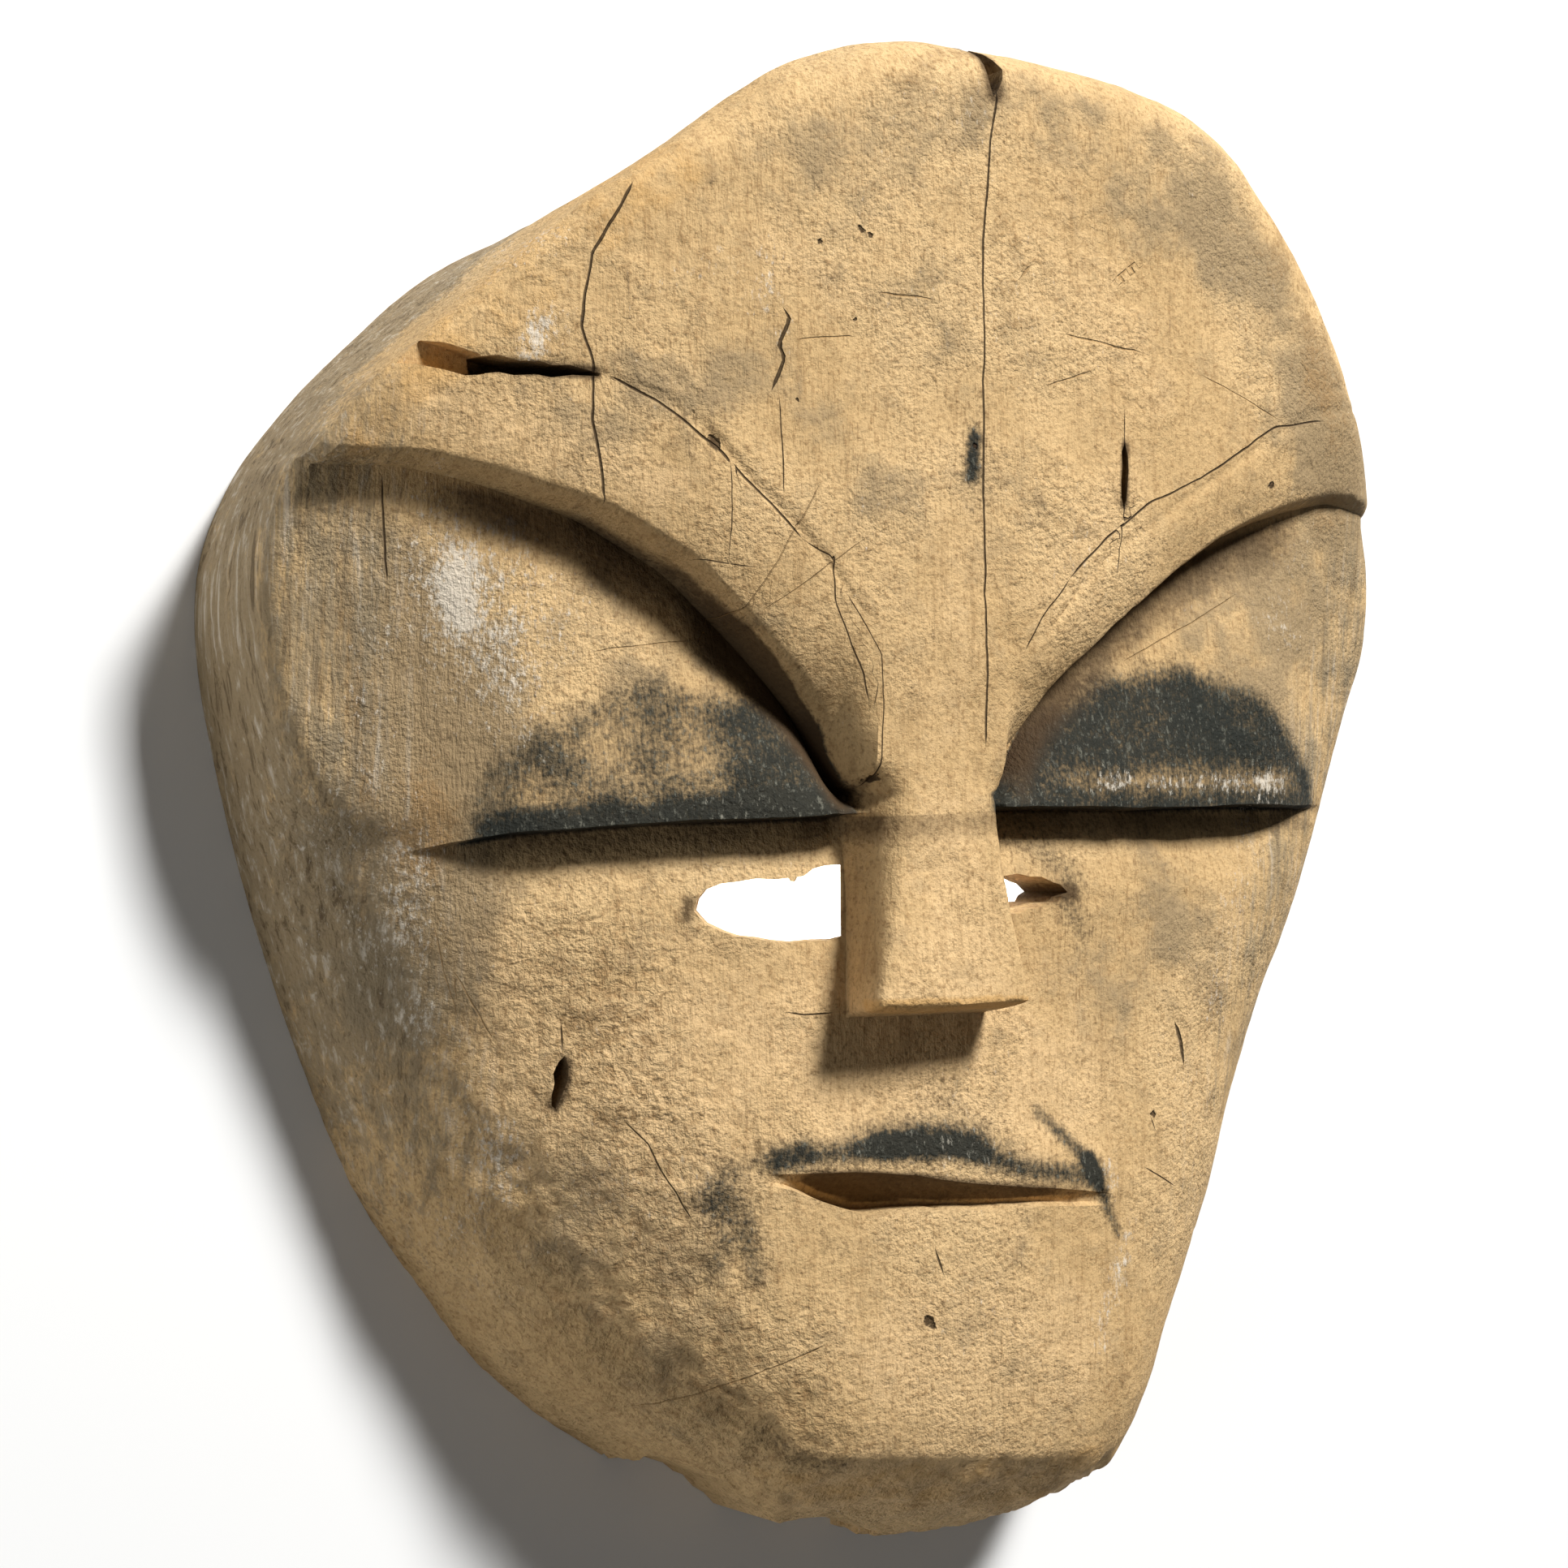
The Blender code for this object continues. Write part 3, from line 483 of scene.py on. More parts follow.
# ---- what is cut right in: the eye holes, splits and lost pieces. Each has its lowest and highest place,
# its lean to the right for each metre down, the height at which its outline holds, and its plan in
# millimetres ----
cuts = {
    "leftEye": (0.009, 0.08, 0.62, 0.055, (
        (-49.0, -19.5), (-48.4, -17.3), (-46.6, -15.4), (-43.0, -14.2), (-39.6, -13.9), (-35.0, -13.3),
        (-31.0, -13.5), (-27.9, -13.3), (-27.6, -13.9), (-26.6, -14.0), (-26.2, -13.2), (-24.4, -12.9),
        (-22.3, -11.5), (-19.5, -10.9), (-16.3, -10.8), (-16.1, -24.9), (-19.0, -25.5), (-23.6, -25.5),
        (-28.5, -25.8), (-32.5, -25.4), (-36.0, -24.8), (-39.5, -24.5), (-42.5, -23.6), (-46.6, -21.9),
    )),
    "rightEye": (0.009, 0.08, -0.35, 0.058, (
        (13.3, -13.6), (17.0, -13.1), (20.0, -13.4), (24.0, -12.9), (27.0, -13.5), (30.0, -13.6),
        (33.0, -14.8), (34.6, -15.2), (36.6, -16.8), (35.0, -17.6), (34.2, -18.8), (31.5, -18.9),
        (29.0, -19.8), (26.5, -20.0), (24.0, -20.9), (18.0, -20.8), (13.3, -20.6),
    )),
    "topNotch": (0.030, 0.09, 0.1, 0.066, (
        (7.9, 160.0), (8.2, 149.6), (8.5, 146.5), (9.0, 142.0), (9.8, 139.2), (10.9, 140.6), (12.2, 142.8),
        (12.9, 145.0), (11.6, 147.2), (10.6, 149.4), (10.4, 160.0),
    )),
    "browSplit": (0.047, 0.09, 0.0, 0.06, (
        (-96.5, 84.2), (-93.0, 84.6), (-89.0, 83.6), (-85.5, 83.7), (-82.8, 83.0), (-79.5, 83.1),
        (-77.0, 82.5), (-73.6, 81.7), (-73.9, 81.2), (-79.0, 81.3), (-83.0, 80.7), (-86.0, 81.2),
        (-90.0, 80.9), (-93.0, 81.4), (-96.0, 81.0),
    )),
    "browNotch": (0.0535, 0.09, 0.0, 0.06, (
        (-122.0, 92.0), (-112.0, 88.6), (-107.0, 87.2), (-102.0, 86.3), (-96.3, 84.6), (-95.5, 80.9),
        (-99.0, 80.6), (-103.0, 81.6), (-108.0, 82.4), (-122.0, 84.0),
    )),
    "slotRight": (0.058, 0.09, 0.0, 0.068, (
        (41.5, 73.2), (42.2, 70.5), (42.4, 67.6), (42.1, 64.4), (41.9, 61.5), (41.2, 60.0), (40.6, 62.3),
        (40.5, 65.6), (40.8, 68.4), (40.6, 71.2),
    )),
    "slotLeft": (0.034, 0.06, 0.0, 0.044, (
        (-71.7, -46.9), (-70.9, -48.9), (-70.9, -51.4), (-71.7, -54.2), (-72.6, -57.2), (-73.3, -56.6),
        (-73.6, -54.4), (-73.2, -52.1), (-73.5, -50.3), (-72.6, -48.0),
    )),
    "lostEdge": (-0.01, 0.032, 0.0, 0.0, (
        (-40.0, -128.2), (-37.6, -129.8), (-34.0, -131.0), (-31.0, -132.7), (-26.0, -134.5), (-23.6, -136.4),
        (-21.4, -137.3), (-19.0, -139.9), (-16.5, -141.4), (-14.0, -143.9), (-11.8, -144.7), (-8.0, -144.2),
        (-5.0, -143.2), (0.0, -143.0), (3.9, -144.1), (6.0, -145.8), (8.4, -146.5), (10.6, -148.3),
        (14.0, -149.3), (15.0, -170.0), (-41.0, -170.0), (-40.6, -134.0),
    )),
}


# a mesh of closed prisms on the plan outlines; a prism leans by moving its ends sideways
def prisms(table):
    vertices, faces, first = [], [], 0
    for low, high, lean, level, outline in table:
        ring = np.array(outline) / 1000
        turn = (ring * np.roll(np.roll(ring, -1, 0), 1, 1) * (1, -1)).sum()
        ring = ring if turn > 0 else ring[::-1]
        n = len(ring)
        vertices += [np.c_[ring + (lean * (level - z), 0), np.full(n, z)] for z in (low, high)]
        k = np.arange(n)
        faces += (first + np.stack([k, (k + 1) % n, (k + 1) % n + n, k + n], axis=1)).tolist()
        faces += [(first + k[::-1]).tolist(), (first + n + k).tolist()]
        first += 2 * n
    return np.concatenate(vertices), faces


# the notch overlaps the split, so it is cut after the others
cutters = [
    newMesh("cutter", *prisms([cuts[name] for name in cuts if name != "browNotch"])),
    newMesh("notchCutter", *prisms([cuts["browNotch"]])),
]
for cutter in cutters:
    cut = maskPiece.modifiers.new("cut", "BOOLEAN")
    cut.operation = "DIFFERENCE"
    cut.solver = "EXACT"
    cut.object = cutter
dependencies = bpy.context.evaluated_depsgraph_get()
finished = bpy.data.meshes.new_from_object(maskPiece.evaluated_get(dependencies))
maskPiece.modifiers.clear()
maskPiece.data = finished
for cutter in cutters:
    bpy.data.objects.remove(cutter)
finished.shade_smooth()
finished.set_sharp_from_angle(angle=math.radians(42))
print("cuts done:", len(finished.vertices), "places")

# ---- zones of colour, worked out for each place and kept as attributes; lines in millimetres, each with
# the half width and strength of its bell ----
pigmentLines = (
    (((-31, -68.6), (-22, -67.0), (-9, -66.4), (8, -67), (17, -69.8), (26, -72), (42, -74.2)), 2.8, 0.78),
    (((-8, -65.4), (3, -64.2), (13, -66.2)), 3.6, 0.55), (((-14, -62.5), (4, -60.5), (18, -62.5)), 4.0, 0.30),
    (((28, -60.5), (34.5, -66), (40.5, -71)), 1.9, 0.75), (((41, -71), (44, -77), (49, -86)), 1.8, 0.62),
    (((-31, -66), (-26, -64.6)), 2.5, 0.4), (((-46, -76), (-42, -71), (-36, -68)), 3.4, 0.40),
    (((-41.5, -76), (-41, -82), (-43.5, -91)), 3.2, 0.44),
    (((-36.5, -77), (-36, -84), (-34.5, -91)), 2.3, 0.42), (((-44, -72), (-36, -84)), 6.5, 0.20),
    (((-20, -84.5), (-17, -85.5)), 3.0, 0.28), (((26, -81), (28, -82)), 3.0, 0.30),
    (((34, -51), (37, -53)), 4.5, 0.27), (((3, -53), (8, -56)), 3.0, 0.25),
    (((36, -20), (40, -24)), 4.2, 0.42), (((18, -5), (30, -8), (38, -14)), 4.5, 0.40),
    (((-60, 66), (-57, 70)), 4.5, 0.30), (((4.2, 65), (4.8, 73)), 1.7, 0.75),
    (((4, 80), (4, 60)), 5.0, 0.20), (((-30, -122), (-22, -127), (-14, -129)), 2.8, 0.40),
)
lids = {
    "leftTop": (
        (-96, 2), (-90, 9), (-80, 17), (-68, 23), (-57, 26), (-46, 23), (-36, 23), (-25, 20), (-12, 18),
    ),
    "rightTop": ((6, 8), (16, 15), (25, 18), (43, 27), (62, 30), (84, 25), (98, 13), (110, 2)),
    "leftPatches": (((-66, 12), 7.0), ((-49, 10), 5.0), ((-80, 3), 4.0), ((-62, 1.5), 3.5)),
}
roughLines = (
    (((-66, -30), (-58, -62), (-50, -96), (-30, -116)), 16, 1.0),
    (((-88, -30), (-80, -66), (-66, -96)), 9, 0.45),
    (((26, 122), (46, 84)), 12, 0.40), (((26, 62), (12, 30)), 8, 0.35), (((-50, 50), (-30, 24)), 7, 0.35),
    (((-100, 78), (-84, 92)), 7, 0.35), (((0, -136), (40, -140)), 8, 0.5), (((0, 0), (0, -34)), 10, 0.15),
)
ochreAndPaintedLightLines = (
    # the first bell lightens the chin's lower band: partly its colour, partly painted light on a band that
    # faces away from the lamps
    (((-12, -134), (44, -138)), 9, 0.9), (((-60, -56), (-46, -90)), 12, 0.5),
    (((-52, -46), (-10, -52), (30, -56)), 22, 0.9), (((-6, -108), (34, -108)), 15, 0.9),
    (((0, -4), (0, -36)), 11, 0.8),
    (((-104, 74), (-62, 62)), 8, 0.8), (((-40, 108), (-20, 96)), 8, 0.5), (((0, 70), (0, 20)), 12, 0.5),
    (((24, 118), (46, 84)), 14, 0.5), (((-86, -24), (-78, -60)), 9, 0.8), (((-96, 40), (-96, 16)), 5, 0.5),
    (((-40, 50), (-30, 36)), 7, 0.4), (((40, 64), (22, 40)), 8, 0.5),
)
# darker along the edges of the eye holes, the slots, the top notch, the split and a small hole
cutDarkLines = (
    (((29.5, -16.8), (37.2, -16.8)), 2.3, 1.0), (((-49.2, -20.5), (-48.6, -17.5)), 1.8, 0.85),
    (((-71.3, -47.8), (-71.4, -52), (-72.8, -56.8)), 1.2, 1.2), (((41.5, 72.6), (41.3, 60.6)), 1.1, 1.2),
    (((9.6, 149.5), (9.8, 140.0)), 2.6, 1.1), (((-95.5, 82.8), (-75, 81.8)), 1.5, 1.2),
    (((-15.3, 6), (-15.6, 4)), 0.7, 0.8),
)
# painted shadow with soot: darker bands on the inner lids just under the brows
lidShadowAndSootLines = (
    (((-40, 34), (-30, 26), (-22, 14), (-18, 5)), 6.0, 0.8), (((18, 8), (24, 17), (34, 25)), 2.5, 0.7),
)
paleLines = (
    (((-90, 40), (-72, 30)), 8, 0.35), (((-100, -8), (-97, -40)), 6, 0.45), (((36, 90), (44, 76)), 5, 0.25),
    (((70, 44), (88, 40)), 6, 0.35), (((-80, -62), (-72, -84)), 5, 0.30), (((-42, 96), (-36, 90)), 6, 0.40),
    (((-124, 74), (-106, 96), (-84, 110)), 8, 0.55), (((-104, 34), (-86, 22)), 9, 0.35),
    (((-60, 101), (-52, 103), (-40, 105)), 7, 0.40), (((-87, 86), (-86, 90)), 3.5, 0.75),
    (((-103, 62), (-98, 44)), 8, 0.55), (((-95, 46), (-94, 36)), 3.5, 0.65),
    (((-88, 52), (-76, 44)), 7, 0.45), (((-84, 56), (-60, 48)), 5, 0.30), (((-78, 100), (-84, 84)), 8, 0.30),
    (((-112, 20), (-108, -20)), 12, 0.45), (((-88, 30), (-84, 12)), 10, 0.35),
    (((-90, -45), (-84, -70)), 8, 0.50), (((-84, -80), (-76, -100)), 6, 0.4),
    (((96, 60), (100, 30)), 10, 0.42), (((88, 0), (78, -40)), 8, 0.45), (((52, -86), (44, -108)), 5, 0.62),
    (((72, -52), (66, -60)), 5, 0.45), (((46, -72), (48, -76)), 3.0, 0.6), (((-20, 40), (-18, 60)), 9, 0.22),
    (((-46, -125), (-36, -118)), 7, 0.25), (((-25, -14), (-24, -6)), 5, 0.2),
)
dullLines = (
    (((-96, 30), (-88, 10)), 9, 0.45), (((84, 108), (66, 118)), 9, 0.4), (((-46, 84), (-28, 74)), 8, 0.4),
    (((-8, 62), (14, 58)), 9, 0.35), (((-62, 80), (-40, 88)), 7, 0.35), (((70, 20), (92, 30)), 9, 0.35),
    (((-56, -20), (-62, -34)), 9, 0.35), (((24, -86), (40, -96)), 10, 0.3), (((-84, 72), (-70, 70)), 5, 0.4),
    (((96, 80), (112, 66)), 12, 0.9), (((46, -36), (62, -18)), 14, 0.75), (((-96, 14), (-98, -30)), 12, 0.85),
    (((-70, -70), (-52, -104)), 14, 0.45),
    (((-60, 112), (-30, 128), (20, 138), (62, 128)), 12, 0.40), (((40, 120), (84, 108), (100, 84)), 12, 0.55),
    (((98, 76), (110, 70)), 10, 0.6), (((-92, 88), (-60, 76)), 8, 0.35), (((-30, 92), (-20, 62)), 12, 0.30),
    (((-104, 40), (-100, 0), (-96, -40)), 12, 0.65), (((-60, 24), (-40, 36)), 12, 0.30),
    (((80, 52), (100, 40)), 10, 0.45), (((60, -86), (50, -112)), 9, 0.40),
    (((-10, -108), (24, -112)), 12, 0.20), (((-44, -84), (-40, -120)), 9, 0.30),
    (((66, -20), (84, -40)), 9, 0.35), (((-20, 118), (10, 86)), 14, 0.25),
)
brownLines = (
    (((-66, -36), (-60, -64), (-54, -92), (-40, -112)), 13, 0.42),
    (((-118, 68), (-115, 32), (-110, 2)), 3.0, 0.65),
    (((-99, 8), (-97, -6)), 6, 0.7), (((-104, -6), (-98, -24)), 7, 0.45), (((80, -35), (70, -66)), 7, 0.45),
    (((100, 84), (104, 62)), 9, 0.5), (((86, 118), (96, 96)), 9, 0.55), (((-12, 142), (4, 146)), 9, 0.4),
    (((14, 118), (12, 96)), 8, 0.35), (((-85, 96), (-70, 112)), 7, 0.35), (((54, -108), (48, -118)), 6, 0.5),
    (((-14, 2), (-12, -3)), 3.5, 0.55), (((-20, -12), (-19, -34)), 4.0, 0.35),
    (((10, -134), (30, -136)), 6, 0.4),
)

# cracks and scratches as lines with their half widths, and small holes with their radii, in millimetres
cracks = (
    (((-67.5, 118), (-76, 104), (-77.6, 90.3), (-75, 82.6), (-75.3, 73), (-73.3, 64.5), (-71.6, 57.4)), 0.17),
    (((-109.9, 63.1), (-109.1, 53.2), (-107.7, 42.5)), 0.11),
    (((10.2, 141), (8.2, 128), (6.6, 110.4), (6.9, 86.7), (6.8, 62.9), (8, 29.7), (8.8, 12)), 0.13),
    (((-60.5, -59.4), (-56, -64), (-52.1, -72.1), (-47.3, -79.4)), 0.10),
    (((-73.3, -96.1), (-68, -101), (-63.5, -108.4)), 0.38),
    (((65.2, -43.7), (67.3, -48), (68.6, -53.2)), 0.35),
    (((-37.8, 96), (-36.2, 93.4), (-38.4, 88.5), (-37.0, 86.2), (-38.6, 82), (-39.8, 79.6)), 0.22),
    (((-38, 79), (-37.6, 60)), 0.08),
    (((3.3, -86.1), (4.2, -88.5), (5.6, -92)), 0.16),
    (((-29, -39.3), (-25.1, -39.8), (-18.5, -39.6)), 0.10),
    (((-72, 81.4), (-63, 77), (-57, 73), (-51, 68.5), (-46, 64), (-40.3, 58.5), (-33.1, 51.5)), 0.17),
    (((-33.1, 51.5), (-26.4, 48.3), (-25.8, 40), (-22.5, 33), (-19.3, 26.4), (-17.6, 20.6)), 0.10),
    (((-23.5, 41.7), (-19.8, 36), (-15.9, 30.1), (-15.1, 20.6), (-15.1, 8.2), (-15.8, 4)), 0.08),
    (((-48, 66), (-47.6, 48)), 0.06), (((-54, 47.5), (-42, 46)), 0.08),
    (((41.5, 80), (41.3, 60), (40, 46)), 0.06),
    (((99, 80.5), (84, 78.5), (72, 72), (62, 67), (48, 61), (37, 54), (28, 46)), 0.13),
    (((28, 46), (21, 38), (17, 31)), 0.08),
    (((58, -62.8), (59.4, -66)), 0.22), (((56, -73), (66, -78)), 0.10),
    (((-72.5, -40), (-72, -46.5)), 0.10),
)
scratches = (
    (((-17.5, 99.5), (-3.9, 98.7)), 0.14), (((-34.9, 89.6), (-21, 90.8)), 0.13),
    (((26, 93.8), (46.4, 91.1)), 0.15), (((37.7, 104.5), (46.1, 110.3)), 0.13),
    (((39.5, 104), (47, 109)), 0.10), (((15.1, 103.8), (18.4, 107.2)), 0.26),
    (((21.4, 83.3), (33.1, 86.8)), 0.14), (((-48, 30), (-30, 62)), 0.09), (((62, 88), (85, 80)), 0.10),
    (((-52, -118), (-20, -104)), 0.12), (((-40, 38), (-20, 52)), 0.08), (((-92, -30), (-84, -44)), 0.12),
    (((-96, -22), (-90, -40)), 0.12), (((-70, 30), (-40, 34)), 0.08), (((50, 30), (80, 44)), 0.08),
)
holes = (
    ((-51.6, 69.5), 1.3), ((-51.0, 68.9), 0.9), ((2.0, -100.9), 1.1), ((2.9, -101.8), 0.8),
    ((58.8, -62.6), 0.7), ((-60.0, -94.2), 0.6), ((-81.0, -86.8), 0.6), ((-57.9, -106.2), 0.6),
    ((-29.7, 108.6), 0.55),
    ((-20.7, 111.3), 0.75), ((-19.2, 110.6), 0.6), ((-34.4, 78.1), 0.5), ((-21.9, 94.3), 0.5),
    ((5.1, 70.8), 0.6), ((-15.1, 5.9), 0.9), ((83.5, 66.5), 0.8),
)


def setAttribute(mesh, name, values):
    layer = mesh.attributes.new(name, "FLOAT", "POINT")
    layer.data.foreach_set("value", values.astype(np.float32))


# the bells of a table of lines, added up
def bells(p, table):
    return sum(strength * near(p, line, width) for line, width, strength in table)


# a lid's painted part: under the top line, over the ledge, with soft ends
def underTop(p, name):
    top = np.array(lids[name], float) / 1000
    level = np.interp(p[:, 0], top[:, 0], top[:, 1])
    ends = ramp(p[:, 0], top[0, 0], top[0, 0] + 0.008) * ramp(-p[:, 0], -top[-1, 0], 0.008 - top[-1, 0])
    return ramp(level - p[:, 1], -0.0045, 0.0055) * ends


# each place's signed distance from the nearest line in millimetres, and that line's half width there; the
# width runs out at the line's ends and is 0 past 3 mm, and a little noise makes the lines wander
def lineField(points, table, seed):
    place = points[:, :2] * 1000
    place = place + 0.45 * np.c_[noise(points, 0.007, seed), noise(points, 0.007, seed + 1)]
    row = np.arange(len(place))
    best, side, width = np.full(len(place), 9.0), np.full(len(place), 9.0), np.zeros(len(place))
    for line, halfWidth in table:
        line = np.array(line, float)
        along = np.diff(line, axis=0)
        long = np.linalg.norm(along, axis=1)
        rel = place[:, None] - line[:-1]
        t = np.clip((rel * along).sum(-1) / long**2, 0.0, 1.0)
        off = np.linalg.norm(rel - t[..., None] * along, axis=-1)
        k = off.argmin(axis=1)
        off = off[row, k]
        across = along[k, 0] * rel[row, k, 1] - along[k, 1] * rel[row, k, 0]
        run = np.cumsum((0, *long))[k] + t[row, k] * long[k]
        taper = ramp(np.minimum(run, long.sum() - run), 0.0, 2.5)
        side = np.where(off < best, np.sign(across) * off, side)
        width = np.where(off < best, halfWidth * taper * (off < 3), width)
        best = np.minimum(best, off)
    return side, width


# where the zones that follow the form begin and end, in metres or shares, and how strong each is
paint = {
    "front": (0.030, 0.042), "lidFoot": (-0.0018, -0.0006), "lidTop": (-0.0004, 0.0006),
    "edgeBand": (-0.0065, -0.002), "leftStrength": (0.68, 0.37), "patchLoss": 0.19,
    "innerFrom": (-0.052, -0.036), "innerGain": 0.26, "rightStrength": 0.95,
    "bandLevel": 0.0050, "bandWidth": 0.0030, "bandFrom": (0.020, 0.045), "bandTo": (-0.104, -0.088),
    "bandLoss": 0.30, "bandPale": 0.70, "paleShare": 0.75, "paleHeight": (0.002, 0.02),
    "sideWall": (0.026, 0.046), "leftEdge": (0.088, 0.118), "rightEdge": (0.082, 0.100),
    "edgeGrey": (0.75, 0.5), "greyAbove": (-0.12, -0.02),
    "lowWall": (0.005, 0.011), "lowDown": (0.0, 0.05), "lowLeft": (0.0, 0.03), "lowBrown": 0.5,
    "rightLid": (0.0, 0.03), "leftLid": (0.03, 0.07), "lidDull": (0.55, 0.25),
    "crownFrom": (0.095, 0.14), "crownDull": 0.04,
    "tipDown": (0.0345, 0.0375), "tipHeight": (0.060, 0.068), "tipSides": (-0.021, -0.018),
    # the chin band's orange is partly its own colour and partly painted light
    "tipMiddle": -0.0015, "chinDown": (0.122, 0.132), "chinColourAndPaintedLight": 0.60,
    "cornerShare": (0.915, 0.965), "cornerSpread": (-32, -24), "cornerHeight": (0.04, 0.05),
    "cornerAngle": 142, "cornerOrange": 0.62,
    # the rows below place painted shade, with dirt, in the mouth's recess and under the ledges, and painted
    # shadow under the brows, with their strengths
    "recessTop": (0.0002, 0.0012), "recessFoot": (0.0, 0.0006), "recessShare": (0.05, 0.4),
    "underTop": (0.0003, 0.001), "underFoot": (-0.0095, -0.003),
    "underFrom": (-0.098, -0.080), "underTo": (-0.112, -0.100),
    "shadeTop": (0.0, 0.001), "shadeFoot": (-0.0165, -0.004), "shadeOffNose": (0.016, 0.024),
    "shadeFrom": (-0.108, -0.090), "shadeTo": (-0.106, -0.090),
    "recessShadeAndDirt": 0.85, "ledgeShadeAndDirt": 0.55, "browPaintedShadow": 0.72,
}


# 0 before and 1 past the two values of a row of paint
def past(name, value):
    return ramp(value, *paint[name])


def paintZones(mesh):
    p = np.empty(len(mesh.vertices) * 3)
    mesh.vertices.foreach_get("co", p)
    p = p.reshape(-1, 3)
    x, y, z = p.T
    sx, shift = x / half[0], (skinLow + skinHigh)[1] / 2
    crest, ledge, mouth = (
        softLine(name, sx) * half[1] - shift for name in ("browLowerLine", "ledgeLine", "mouthLine")
    )
    front, overLedge = past("front", z), y - ledge
    onLid = past("lidFoot", overLedge) * past("lidTop", crest - y)

    whole, more = paint["leftStrength"]
    left = underTop(p, "leftTop") * (whole + more * past("edgeBand", -overLedge))
    for (px, py), size in lids["leftPatches"]:
        left = left - paint["patchLoss"] * np.exp(-(((x * 1000 - px) ** 2 + (y * 1000 - py) ** 2) / size**2))
    left = left + paint["innerGain"] * underTop(p, "leftTop") * past("innerFrom", x)
    band = np.exp(-(((overLedge - paint["bandLevel"]) / paint["bandWidth"]) ** 2))
    band = band * past("bandFrom", x) * past("bandTo", -x)
    right = underTop(p, "rightTop") * paint["rightStrength"] * (1 - paint["bandLoss"] * band)
    setAttribute(mesh, "pigment", (onLid * (left + right) + bells(p, pigmentLines)) * front)
    pale = paint["paleShare"] * (bells(p, paleLines) + paint["bandPale"] * band * onLid)
    setAttribute(mesh, "pale", pale * past("paleHeight", z))

    leftGrey, rightGrey = paint["edgeGrey"]
    edges = np.maximum(leftGrey * past("leftEdge", -x - 0.1 * y), rightGrey * past("rightEdge", x - 0.35 * y))
    setAttribute(mesh, "grey", np.maximum(1 - past("sideWall", z), edges) * past("greyAbove", y))
    lowLeft = (1 - past("lowWall", z)) * past("lowDown", -y) * past("lowLeft", -x)
    setAttribute(mesh, "brown", bells(p, brownLines) + paint["lowBrown"] * lowLeft)
    rightDull, leftDull = paint["lidDull"]
    lidDull = onLid * (rightDull * past("rightLid", x) + leftDull * past("leftLid", -x))
    dull = bells(p, dullLines) + paint["crownDull"] * past("crownFrom", y) + lidDull * front
    setAttribute(mesh, "dull", dull)

    # painted shade with dirt: the mouth's recess is darkened
    recess = past("recessTop", mouth - y) * past("recessFoot", y - mouth + mouthGap(sx))
    recess = recess * past("recessShare", mouthShare(sx))
    # painted shade with dirt: a band under each lid's ledge is darkened
    under = past("underTop", ledge - y) * past("underFoot", overLedge)
    under = under * past("underFrom", x) * past("underTo", -x)
    # painted shadow of the brows: the lids are darkened just under the brows' lower edge, off the nose
    shade = past("shadeTop", crest - y) * past("shadeFoot", y - crest) * past("shadeOffNose", np.abs(x))
    shade = shade * past("shadeFrom", x) * past("shadeTo", -x) * (y > ledge)
    sootAndShade = bells(p, lidShadowAndSootLines) * past("shadeTop", crest - y)
    # painted shade and dirt, with the darkening along the cuts, make one attribute
    sootAndShade = sootAndShade + paint["recessShadeAndDirt"] * recess + paint["ledgeShadeAndDirt"] * under + paint["browPaintedShadow"] * shade
    setAttribute(mesh, "sootAndShade", bells(p, cutDarkLines) + sootAndShade * front)
    setAttribute(mesh, "ochreAndPaintedLight", bells(p, ochreAndPaintedLightLines))
    setAttribute(mesh, "rough", bells(p, roughLines))
    tip = past("tipDown", -y) * past("tipHeight", z) * past("tipSides", -np.abs(x - paint["tipMiddle"]))
    angle, share = polar(x, y)
    aside = np.abs(np.degrees(angle) - paint["cornerAngle"])
    corner = past("cornerShare", share) * past("cornerSpread", -aside) * past("cornerHeight", z)
    # the chin's lower band turns orange: partly its own colour, partly painted light on a band that faces
    # away from the lamps
    chin = past("chinDown", -y) * front
    setAttribute(mesh, "orangeAndPaintedLight", tip + paint["chinColourAndPaintedLight"] * chin + paint["cornerOrange"] * corner)
    for name, table in (("crack", cracks), ("scratch", scratches)):
        side, width = lineField(p, table, wear["seed"] + 30)
        setAttribute(mesh, name + "Side", side)
        setAttribute(mesh, name + "Width", width * front)


paintZones(finished)
print("zones painted")


# ---- materials: an expression on sockets adds its nodes ----
class Socket:
    def __init__(self, tree, link):
        self.tree, self.link = tree, link

    def maths(self, operation, other=0.0):
        node = self.tree.nodes.new("ShaderNodeMath")
        node.operation = operation
        for number, value in enumerate((self, other)):
            if isinstance(value, Socket):
                self.tree.links.new(value.link, node.inputs[number])
            else:
                node.inputs[number].default_value = value
        return Socket(self.tree, node.outputs[0])

    def __add__(self, other):
        return self.maths("ADD", other)

    def __radd__(self, other):
        return self.maths("ADD", other)

    def __sub__(self, other):
        return self.maths("SUBTRACT", other)

    def __rsub__(self, other):
        return self.maths("MULTIPLY", -1.0).maths("ADD", other)

    def __mul__(self, other):
        return self.maths("MULTIPLY", other)

    def __rmul__(self, other):
        return self.maths("MULTIPLY", other)

    # 0 below low, 1 above high, soft between
    def ramp(self, low, high):
        return makeNode(
            self.tree, "ShaderNodeMapRange", {"interpolation_type": "SMOOTHSTEP"},
            {"Value": self, "From Min": low, "From Max": high},
        )


